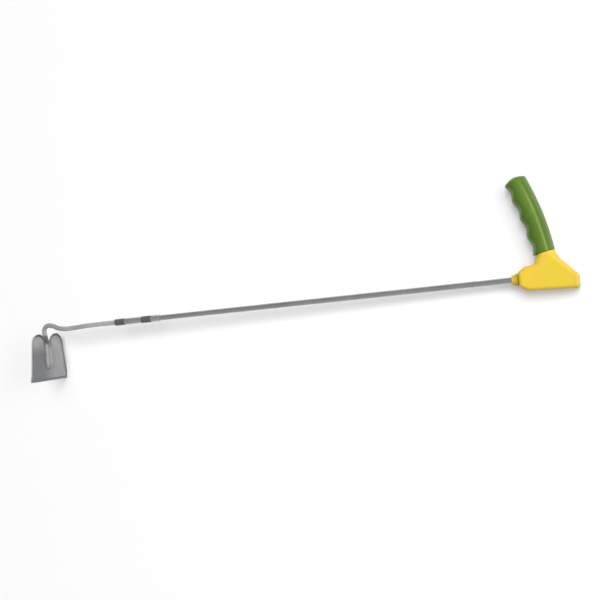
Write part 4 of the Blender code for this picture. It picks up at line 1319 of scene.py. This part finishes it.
@dataclass
class Shaft:
    """Steel tube from the joint to the handle."""

    joint: Joint
    diameter: float = 8.0 * MM
    wall: float = 1.0 * MM
    spigot: float = 7.4 * MM
    shoulder_gap: float = 0.3 * MM
    reach: float = 52.0 * MM
    neck_down: float = 2.0 * MM
    plain_start: float = 6.0 * MM
    plain_end: float = 2.0 * MM
    edge_round: float = 0.2 * MM
    round_steps: int = 3
    rows: int = 24
    sides: int = 96

    def skin(self) -> Skin:
        """Tube turned from its profile: the spigot in the joint, a short shoulder, then the full diameter.

        Returns:
            The tube's skin.
        """
        outer, thin = self.diameter / 2, self.spigot / 2
        shoulder = self.joint.rear + self.shoulder_gap
        inside = self.joint.rear - self.joint.spigot_depth
        profile = [(inside, thin - self.wall), (inside, thin), (shoulder, thin), (shoulder + (outer - thin), outer)]
        stations = np.linspace(shoulder + self.plain_start, self.reach - self.plain_end, self.rows)
        profile += [(place, outer) for place in (*stations.tolist(), self.reach)]
        profile += [(place, outer - self.wall) for place in (self.reach, shoulder + self.neck_down)]
        profile.append((shoulder, thin - self.wall))
        return Skin.turned(profile, self.edge_round, self.round_steps, self.sides)

    def build(self, bench: Workbench) -> None:
        """Makes the tube and paints the pin and plug in its end.

        Args:
            bench: makes and paints the pieces.
        """
        bench.finished(self.skin(), "long_shaft", SHAFT_STEEL, "shaft_steel", "shaft_tube")
        bench.keep(SCREW_STEEL, "shaft_cross_pin")
        bench.keep(PLUG_PLASTIC, "shaft_end_plug")


@dataclass
class GripAxis:
    """Line that the grip follows: a chord that leans forward and bows to the rear."""

    foot_x: float = 43.2 * MM
    foot_y: float = 30.15 * MM
    length: float = 99.0 * MM
    lean: float = math.radians(16.3)
    bow: float = 2.1 * MM

    def centre(self, along: np.ndarray | float) -> np.ndarray:
        """Axis point: foot + chord t + rear 4 bow s (1 - s), with s = t / length.

        Args:
            along: distance t from the foot.

        Returns:
            Points, one row each.
        """
        share = along / self.length
        bow = 4 * self.bow * share * (1 - share)
        sine, cosine = math.sin(self.lean), math.cos(self.lean)
        x = self.foot_x - sine * along + cosine * bow
        return np.stack([x, self.foot_y + cosine * along + sine * bow, 0 * x], axis=-1)

    def rear(self, along: np.ndarray | float) -> np.ndarray:
        """Direction square to the axis, to the rear: (cos a, sin a) with a = lean - atan(slope of the bow).

        Args:
            along: distance from the foot.

        Returns:
            Directions, one row each.
        """
        slope = 4 * self.bow / self.length * (1 - 2 * along / self.length)
        angle = self.lean - np.arctan(slope)
        return np.stack([np.cos(angle), np.sin(angle), 0 * angle], axis=-1)

    def upward(self, along: np.ndarray) -> np.ndarray:
        """Direction of the axis, towards the grip's top."""
        return np.cross([0.0, 0.0, 1.0], self.rear(along))


@dataclass
class Handle:
    """Moulded handle body in two halves, with its nose collar, rear cap and screws."""

    axis: GripAxis
    half_width: float = 14.0 * MM
    edge: float = 5.0 * MM
    split: float = 0.3 * MM
    front: float = 9.5 * MM
    rear: float = 76.8 * MM
    rear_bottom: float = -17.6 * MM
    rear_top: float = 3.9 * MM
    front_half_height: float = 8.9 * MM
    foot_radius: float = 1.5 * MM
    brow_radius: float = 3.0 * MM
    chin: Corner = mm(20.5, -15.4, 5.0)
    shoulder: Corner = mm(17.7, 14.9, 6.0)
    throat: Corner = mm(30.5, 16.8, 3.5)
    nape: Corner = mm(60.2, 21.3, 6.0)
    neck_front: float = 10.6 * MM
    neck_rear: float = 12.3 * MM
    neck_front_rounding: float = 10.0 * MM
    neck_rear_rounding: float = 9.0 * MM
    neck_flat: float = 1.0 * MM
    least_radius: float = 1.0 * MM
    tight: float = 0.3 * MM
    rim_wear: float = 0.4
    rim_wear_decay: float = 6.0
    flat_wear: float = 0.45
    flat_wear_from: float = 1.2
    arc_steps: int = 14
    side_steps: int = 22
    roll_steps: int = 18
    nose_tip: float = 5.0 * MM
    nose_front: float = 6.0 * MM
    nose_rear: float = 7.9 * MM
    nose_rounding: float = 1.2 * MM
    nose_lip: float = 0.36 * MM
    nose_rounding_share: float = 0.6
    nose_soft: float = 0.5 * MM
    nose_soft_steps: int = 6
    nose_length: float = 8.6 * MM
    nose_bore: float = 4.2 * MM
    nose_spigot: float = 6.2 * MM
    nose_spigot_end: float = 13.4 * MM
    # Span along the collar of its painted shade.
    recess_shade_span: Span = (0.45, 0.95)
    nose_wear: Span = (0.25, 0.0)
    nose_sides: int = 96
    cap_thickness: float = 4.2 * MM
    cap_seam: float = 0.1 * MM
    cap_lead: float = 0.2 * MM
    cap_rounding: float = 1.8 * MM
    cap_corner: float = 5.0 * MM
    cap_corner_shrink: float = 0.6
    cap_wear: float = 0.8
    cap_lead_steps: int = 4
    cap_round_steps: int = 10
    cap_arc_steps: int = 12
    cap_side_steps: int = 10
    screw_places: tuple[Span, ...] = (mm(23.5, 9.0), mm(56.0, 12.0), mm(67.0, -7.5))
    screw_hole: float = 3.2 * MM
    screw_hole_depth: float = 7.2 * MM
    screw_hole_lead: float = 0.5 * MM
    screw_hole_over: float = 1.0 * MM
    screw_sides: int = 48
    sharp_angle: float = 35.0

    def corners(self) -> tuple[np.ndarray, np.ndarray]:
        """Side outline, counter-clockwise from the front foot.

        Returns:
            The corners, and the radius at each.
        """
        foot, rearward = self.axis.centre(0.0)[:2], self.axis.rear(0.0)[:2]
        table = np.array([
            (self.front, -self.front_half_height, self.foot_radius),
            self.chin,
            (self.rear, self.rear_bottom, self.tight),
            (self.rear, self.rear_top, self.tight),
            self.nape,
            (*(foot + rearward * self.neck_rear), self.tight),
            (*(foot - rearward * self.neck_front), self.tight),
            self.throat,
            self.shoulder,
            (self.front, self.front_half_height, self.brow_radius),
        ])
        return table[:, :2], table[:, 2]

    def half_skin(self, side: int) -> Skin:
        """One half: the outline at the split, rolled over to a flat side.

        With p the rim's point, q the flat side's and h the height at which the roll starts, the roll is
        q + (p - q) cos a in the side view and h + (half width - h) sin a across, a from 0 to a right angle. The
        rim's wear falls off exponentially with the roll, and the flat side's border is worn all round.

        Args:
            side: 1 for the upper half, -1 for the lower.

        Returns:
            The half's skin, its rim and its flat's border marked.
        """
        corners, radii = self.corners()
        roll, low = self.edge, self.half_width - self.edge
        neck = [self.neck_rear_rounding, 0.0, self.neck_front_rounding]
        insets = np.array([roll, roll, 0.0, roll, *neck, roll, roll, roll])
        following = np.roll(corners, -1, axis=0) - corners
        leading = np.roll(following, 1, axis=0)
        convex = leading[:, 0] * following[:, 1] - leading[:, 1] * following[:, 0] > 0
        shrunk = np.maximum(radii - np.minimum(insets, np.roll(insets, 1)), self.least_radius)
        starts = np.array([low] * 5 + [self.neck_flat] * 2 + [low] * 3)
        steps = self.arc_steps, self.side_steps
        outline, heights = rounded_corners(corners, radii, starts, *steps)
        face, _ = rounded_corners(inset_corners(corners, insets), np.where(convex, shrunk, radii), starts, *steps)
        turn = np.concatenate([[0.0], quarter(self.roll_steps)])[:, None]
        plan = face + (outline - face) * np.cos(turn)[:, :, None]
        rise = heights + (self.half_width - heights) * np.sin(turn)
        rise[0] = self.split / 2
        points = np.concatenate([plan, side * rise[:, :, None]], axis=-1)
        fading = np.exp(-np.linspace(0, self.rim_wear_decay, self.roll_steps + 1)) * self.rim_wear
        border = np.where(turn > self.flat_wear_from, self.flat_wear, 0.0)
        worn = np.maximum(np.concatenate([[1.0], fading])[:, None], border)
        return Skin(points, marks={Mark.EDGE: worn}, sharp=self.sharp_angle)

    def bore_screws(self, half: bpy.types.Object, bench: Workbench) -> None:
        """Cuts a hole for each screw into the lower half, with a small lead-in at its mouth.

        Args:
            half: the lower half.
            bench: gives the tool's frame.
        """
        face, over, lead = self.half_width, self.screw_hole_over, self.screw_hole_lead
        depths = np.array([[-(face + over)], [-(face - lead)], [-(face - self.screw_hole_depth)]])
        reach = self.screw_hole + np.array([[over + lead], [0.0], [0.0]])
        turn = around(self.screw_sides)
        for k, (x, y) in enumerate(self.screw_places):
            points = np.stack([x + reach * np.cos(turn), y + reach * np.sin(turn), depths + 0 * turn], axis=-1)
            cut_away(half, Skin(points).to_object(f"screw_bore_{k}", bench.frame))

    def nose_skin(self) -> Skin:
        """Collar turned from its tapered profile, with its spigot behind the dark gap.

        Returns:
            The collar's skin, worn towards its tip and marked for painted shade where it recedes to the gap.
        """
        length, rounding = self.nose_length, self.nose_rounding
        profile = [
            (0.0, self.nose_bore),
            (0.0, self.nose_tip),
            (rounding * self.nose_rounding_share, self.nose_front),
            (length - rounding, self.nose_rear),
            (length, self.nose_rear - self.nose_lip),
            (length, self.nose_spigot),
            (self.nose_spigot_end, self.nose_spigot),
            (self.nose_spigot_end, self.nose_bore),
        ]
        skin = Skin.turned(profile, self.nose_soft, self.nose_soft_steps, self.nose_sides)
        share = skin.points[:, :1, 0] / length
        skin.marks[Mark.EDGE] = skin.marks[Mark.EDGE] * smooth_step(share, *self.nose_wear)
        # Painted shade towards the collar's rear, where it recedes to the gap.
        skin.marks[Mark.RECESS_SHADE] = smooth_step(share, *self.recess_shade_span)
        return skin

    def cap_skin(self) -> Skin:
        """Cap lofted from rounded rectangles: inset R (1 - cos a) at R (1 - sin a) before the rear face.

        A small lead of the same kind opens it at the front, and its top falls on with the slope of the body's
        back.

        Returns:
            The cap's skin, its rounding marked as an edge.
        """
        lead, rounding = self.cap_lead, self.cap_rounding
        start, end = self.rear + self.cap_seam, self.rear + self.cap_thickness
        early, turn = quarter(self.cap_lead_steps), quarter(self.cap_round_steps)
        insets = np.concatenate([lead * (1 - np.sin(early)), rounding * (1 - np.cos(turn))])
        places = np.concatenate([start + lead * (1 - np.cos(early)), end - rounding * (1 - np.sin(turn))])
        fall = (self.nape[1] - self.rear_top) / (self.rear - self.nape[0])
        rings = []
        for place, inset in zip(places, insets):
            bottom, wide = self.rear_bottom + inset, self.half_width - inset
            top = self.rear_top - (place - self.rear) * fall - inset
            corners = np.array([(bottom, -wide), (top, -wide), (top, wide), (bottom, wide)])
            radii = np.full(4, max(self.cap_corner - inset * self.cap_corner_shrink, self.least_radius))
            outline, _ = rounded_corners(corners, radii, radii, self.cap_arc_steps, self.cap_side_steps)
            rings.append(np.concatenate([np.full((len(outline), 1), place), outline], axis=1))
        edge = self.cap_wear * np.concatenate([np.ones(len(early)), np.sin(turn * 2)])[:, None]
        return Skin(np.array(rings), marks={Mark.EDGE: edge}, sharp=self.sharp_angle)

    def build(self, bench: Workbench) -> None:
        """Makes the halves, the collar and the cap, and paints the screws.

        Args:
            bench: makes and paints the pieces.
        """
        plastic = HANDLE_PLASTIC, "handle_plastic"
        for side, name in ((1, "upper"), (-1, "lower")):
            half = bench.finished(self.half_skin(side), f"body_{name}", *plastic, f"handle_half_{name}")
            if side < 0:
                self.bore_screws(half, bench)
            even_shading(half)
        bench.finished(self.nose_skin(), "shaft_collar", *plastic, "nose_collar")
        even_shading(bench.finished(self.cap_skin(), "end_cap", *plastic, "rear_cap"))
        bench.keep(SCREW_STEEL, *(f"handle_screw_{k}" for k in range(1, len(self.screw_places) + 1)))


@dataclass
class Grip:
    """Soft green grip with four finger grooves and a domed top."""

    axis: GripAxis
    front_depth: float = 14.2 * MM
    rear_depth: float = 13.6 * MM
    palm_swell: float = 1.3 * MM
    palm_place: float = 0.55
    half_width: float = 14.6 * MM
    width_swell: float = 0.5 * MM
    dome: float = 3.3 * MM
    edge: float = 3.5 * MM
    foot_gap: float = 0.3 * MM
    foot_round: float = 0.8 * MM
    foot_inset: float = 5.0 * MM
    least: float = 0.3 * MM
    grooves: int = 4
    groove_depth: float = 2.5 * MM
    groove_fade: Span = (0.15, 0.8)
    crest_fade: Span = (0.55, 1.0)
    wear: float = 0.5
    foot_steps: int = 6
    edge_steps: int = 14
    dome_steps: int = 15
    dome_middle: float = 0.04
    sides: int = 112
    rows: int = 170
    sharp_angle: float = 50.0

    def stations(self) -> tuple[np.ndarray, np.ndarray, np.ndarray]:
        """Rows of the grip from its foot to the middle of its dome.

        The top's edge shrinks the section by edge (1 - cos a) at edge (1 - sin a) before the end. Over the top
        the share s of the section that is left falls evenly from 1, and the row is lifted by dome (1 - s^2).

        Returns:
            Distance along the axis, how far the section shrinks, and how far it is lifted off the end.
        """
        length, edge = self.axis.length, self.edge
        foot, small = self.foot_gap, self.foot_round
        low, high = quarter(self.foot_steps), quarter(self.edge_steps)[1:]
        body = np.linspace(foot + small, length - edge, self.rows)[1:]
        share = np.linspace(1, self.dome_middle, self.dome_steps + 1)[1:]
        rows = (
            ([foot], [self.foot_inset]),
            (foot + small * (1 - np.cos(low)), small * (1 - np.sin(low))),
            (body, 0 * body),
            (length - edge + edge * np.sin(high), edge * (1 - np.cos(high))),
            (np.full(len(share), length), edge + (self.rear_depth - edge) * (1 - share)),
        )
        along, shrink = (np.concatenate([row[k] for row in rows]) for k in (0, 1))
        lift = np.zeros(len(along))
        lift[-len(share):] = self.dome * (1 - share**2)
        return along, shrink, lift

    def skin(self) -> Skin:
        """Ellipse carried along the grip's axis.

        Towards the rear its depth is rear_depth + palm_swell sin(pi p), p running through the palm's place;
        towards the front each finger presses it in by groove_depth (1 - cos(2 pi grooves s)) / 2.

        Returns:
            The grip's skin, worn on the crests between the fingers and on the rim of its top.
        """
        along, shrink, lift = self.stations()
        share = np.clip(along / self.axis.length, 0, 1)
        finger = (1 - np.cos(2 * np.pi * self.grooves * share)) / 2
        below = share / self.palm_place / 2
        above = (1 + (share - self.palm_place) / (1 - self.palm_place)) / 2
        rear_depth = self.rear_depth + self.palm_swell * np.sin(np.pi * np.minimum(below, above))
        wide = self.half_width + self.width_swell * np.sin(np.pi * share)
        turn = around(self.sides)[None, :]
        toward = np.cos(turn)
        depth = np.where(toward > 0, rear_depth[:, None], self.front_depth) - shrink[:, None]
        groove = self.groove_depth * finger[:, None] * smooth_step(-toward, *self.groove_fade)
        out = toward * np.maximum(depth, self.least) + np.where(toward < 0, groove, 0)
        centre = self.axis.centre(along) + self.axis.upward(along) * lift[:, None]
        side = np.maximum(wide - shrink, self.least)[:, None] * np.sin(turn)
        points = centre[:, None] + self.axis.rear(along)[:, None] * out[:, :, None]
        points[..., 2] += side
        laid = np.stack([out, along[:, None] + lift[:, None] + 0 * out, side], axis=-1)
        crest = (1 - finger)[:, None] * smooth_step(-toward, *self.crest_fade) * self.wear
        rim = np.clip(shrink / self.edge, 0, 1)[:, None] * self.wear * (along[:, None] > self.axis.length / 2)
        worn = {Mark.EDGE: np.maximum(crest, rim)}
        return Skin(points, laid=laid, marks=worn, sharp=self.sharp_angle)

    def build(self, bench: Workbench) -> None:
        """Makes the grip."""
        bench.finished(self.skin(), "finger_grip", GRIP_RUBBER, "grip_plastic", "grip_sleeve")


# Stage


def placed(name: str, data: bpy.types.ID, axes: list[np.ndarray], place: np.ndarray) -> bpy.types.Object:
    """Adds a camera or a lamp.

    Args:
        name: its name.
        data: its settings.
        axes: its X, Y and Z directions; it looks along -Z.
        place: where it stands, in the row's frame.

    Returns:
        Its object.
    """
    matrix = np.eye(4)
    matrix[:3, :3] = np.stack(axes).T
    matrix[:3, 3] = place
    made = bpy.data.objects.new(name, data)
    made.matrix_world = Matrix(matrix.tolist())
    bpy.context.scene.collection.objects.link(made)
    return made


@dataclass
class Studio:
    """White table, soft light from the upper right and the camera of the photograph."""

    focal: float = 51.0
    sensor: float = 36.0
    clip: Span = (0.01, 100.0)
    tilt: float = math.radians(22.61)
    side_tilt: float = math.radians(1.43)
    roll: float = math.radians(5.55)
    target: Corner = mm(-291.7, 4.1, 0.0)
    distance: float = 1187.3 * MM
    table: float = 30.0
    table_colour: Colour = (0.66, 0.66, 0.665)
    lift: float = 0.26
    sky_front: float = 0.32
    sky_back: float = 0.10
    sky_turn: float = 0.8
    horizon: float = 0.45
    horizon_end: float = 0.5
    key_direction: Corner = (0.2, 0.38, 1.0)
    key_angle: float = math.radians(36)
    key_distance: float = 2.0
    key_strength: float = 2.74
    box_place: Corner = (1.27, 0.28, 1.24)
    box_aim: Corner = (0.03, 0.08, 0.0)
    box_size: Span = (0.62, 1.25)
    box_power: float = 13.0

    def camera(self, frame: ToolFrame) -> None:
        """Camera that looks back along n, rolled, at the middle of the shaft.

        n = (sin tilt cos side_tilt, -sin side_tilt, cos tilt cos side_tilt) in the tool's frame.

        Args:
            frame: the tool's frame.
        """
        level_share = math.cos(self.side_tilt)
        sine, cosine = math.sin(self.tilt), math.cos(self.tilt)
        normal = np.array([sine * level_share, -math.sin(self.side_tilt), cosine * level_share])
        level = np.array([cosine, 0.0, -sine])
        upright = np.cross(normal, level)
        right = math.cos(self.roll) * level - math.sin(self.roll) * upright
        up = math.sin(self.roll) * level + math.cos(self.roll) * upright
        data = bpy.data.cameras.new("photo_camera")
        data.lens, data.sensor_width = self.focal, self.sensor
        data.clip_start, data.clip_end = self.clip
        place = frame.to_row(np.array(self.target) + normal * self.distance)
        bpy.context.scene.camera = placed("photo_camera", data, list(np.stack([right, up, normal]) @ frame.axes), place)

    def floor(self) -> None:
        """White table under the tool, a little brighter to the camera and in reflections than its light makes it."""
        half = self.table / 2
        mesh = bpy.data.meshes.new("table")
        mesh.from_pydata([(-half, -half, 0), (half, -half, 0), (half, half, 0), (-half, half, 0)], [], [(0, 1, 2, 3)])
        table = bpy.data.objects.new("table", mesh)
        bpy.context.scene.collection.objects.link(table)
        material = bpy.data.materials.new("table_white")
        material.use_nodes = True
        wiring = Wiring(material.node_tree)
        path = wiring.node("ShaderNodeLightPath").outputs
        seen = wiring.maths("MAXIMUM", path["Is Camera Ray"], path["Is Glossy Ray"])
        seen = wiring.maths("MAXIMUM", seen, path["Is Transmission Ray"])
        diffuse = wiring.node("ShaderNodeBsdfDiffuse", {"Color": (*self.table_colour, 1.0)})
        glow = wiring.node("ShaderNodeEmission", {"Strength": wiring.times(seen, self.lift)})
        both = wiring.node("ShaderNodeAddShader", {0: diffuse.outputs[0], 1: glow.outputs[0]})
        wiring.node("ShaderNodeOutputMaterial", {"Surface": both.outputs[0]})
        mesh.materials.append(material)

    def world(self, frame: ToolFrame) -> None:
        """Soft sky: brighter on the side of the table that is nearer the viewer, dimmer at the horizon.

        Its level goes from sky_back to sky_front as the direction turns from the tool's +Y to its -Y, and is
        lowered to its horizon share as the direction sinks to the horizon. The camera sees plain white.

        Args:
            frame: the tool's frame.
        """
        world = bpy.data.worlds.new("studio")
        bpy.context.scene.world = world
        world.use_nodes = True
        wiring = Wiring(world.node_tree)
        direction = wiring.node("ShaderNodeTexCoord").outputs["Generated"]
        height = wiring.node("ShaderNodeSeparateXYZ", {0: direction}).outputs["Z"]
        across = {0: direction, 1: tuple(-frame.axes[1])}
        toward = wiring.node("ShaderNodeVectorMath", across, operation="DOT_PRODUCT").outputs["Value"]
        side = wiring.ramp(toward, -self.sky_turn, self.sky_turn, self.sky_back, self.sky_front)
        level = wiring.times(side, wiring.ramp(height, 0.0, self.horizon_end, self.horizon, 1.0))
        seen = wiring.node("ShaderNodeLightPath").outputs["Is Camera Ray"]
        strength = wiring.maths("ADD", wiring.times(level, wiring.maths("SUBTRACT", 1.0, seen)), seen)
        sky = wiring.node("ShaderNodeBackground", {"Strength": strength, "Color": (1.0, 1.0, 1.0, 1.0)})
        wiring.node("ShaderNodeOutputWorld", {"Surface": sky.outputs[0]})

    def lamp(self, name: str, kind: str, place: np.ndarray, back: np.ndarray, **settings: object) -> bpy.types.Object:
        """Adds a lamp.

        Args:
            name: its name.
            kind: SUN or AREA.
            place: where it hangs, in the row's frame.
            back: direction from what it lights to the lamp.
            settings: properties of the lamp.

        Returns:
            The lamp's object.
        """
        data = bpy.data.lights.new(name, kind)
        for key, value in settings.items():
            setattr(data, key, value)
        side = unit(np.cross([0.0, 1.0, 0.0], back))
        return placed(name, data, [side, np.cross(back, side), back], place)

    def lamps(self, frame: ToolFrame) -> None:
        """Wide soft key from above, which leaves no glare, and a soft box beside the grip, which does.

        Args:
            frame: the tool's frame.
        """
        key_back = unit(np.array(self.key_direction)) @ frame.axes
        key_place = key_back * self.key_distance
        key = self.lamp("key", "SUN", key_place, key_back, energy=self.key_strength, angle=self.key_angle)
        key.visible_glossy = False
        place = frame.to_row(np.array(self.box_place))
        back = unit(place - frame.to_row(np.array(self.box_aim)))
        width, length = self.box_size
        self.lamp("soft_box", "AREA", place, back, shape="RECTANGLE", size=width, size_y=length, energy=self.box_power)

    def build(self, frame: ToolFrame) -> None:
        """Sets up the whole stage.

        Args:
            frame: the tool's frame.
        """
        bpy.context.scene.view_settings.view_transform = "Standard"
        self.camera(frame)
        self.floor()
        self.world(frame)
        self.lamps(frame)


def main() -> None:
    """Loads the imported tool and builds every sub-assembly in order."""
    logging.basicConfig(level=logging.INFO, format="%(name)s %(message)s")
    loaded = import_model()
    bench = Workbench(loaded["nodes"])
    axis = GripAxis()
    blade = Blade()
    joint = Joint()
    rod = NeckRod(blade, joint)
    for assembly in (blade, rod, ToeWelds(rod), joint, Shaft(joint), Handle(axis), Grip(axis)):
        assembly.build(bench)
    Studio().build(bench.frame)
    LOG.info("tool frame origin %s", np.round(bench.frame.origin, 5))


if __name__ == "__main__":
    main()
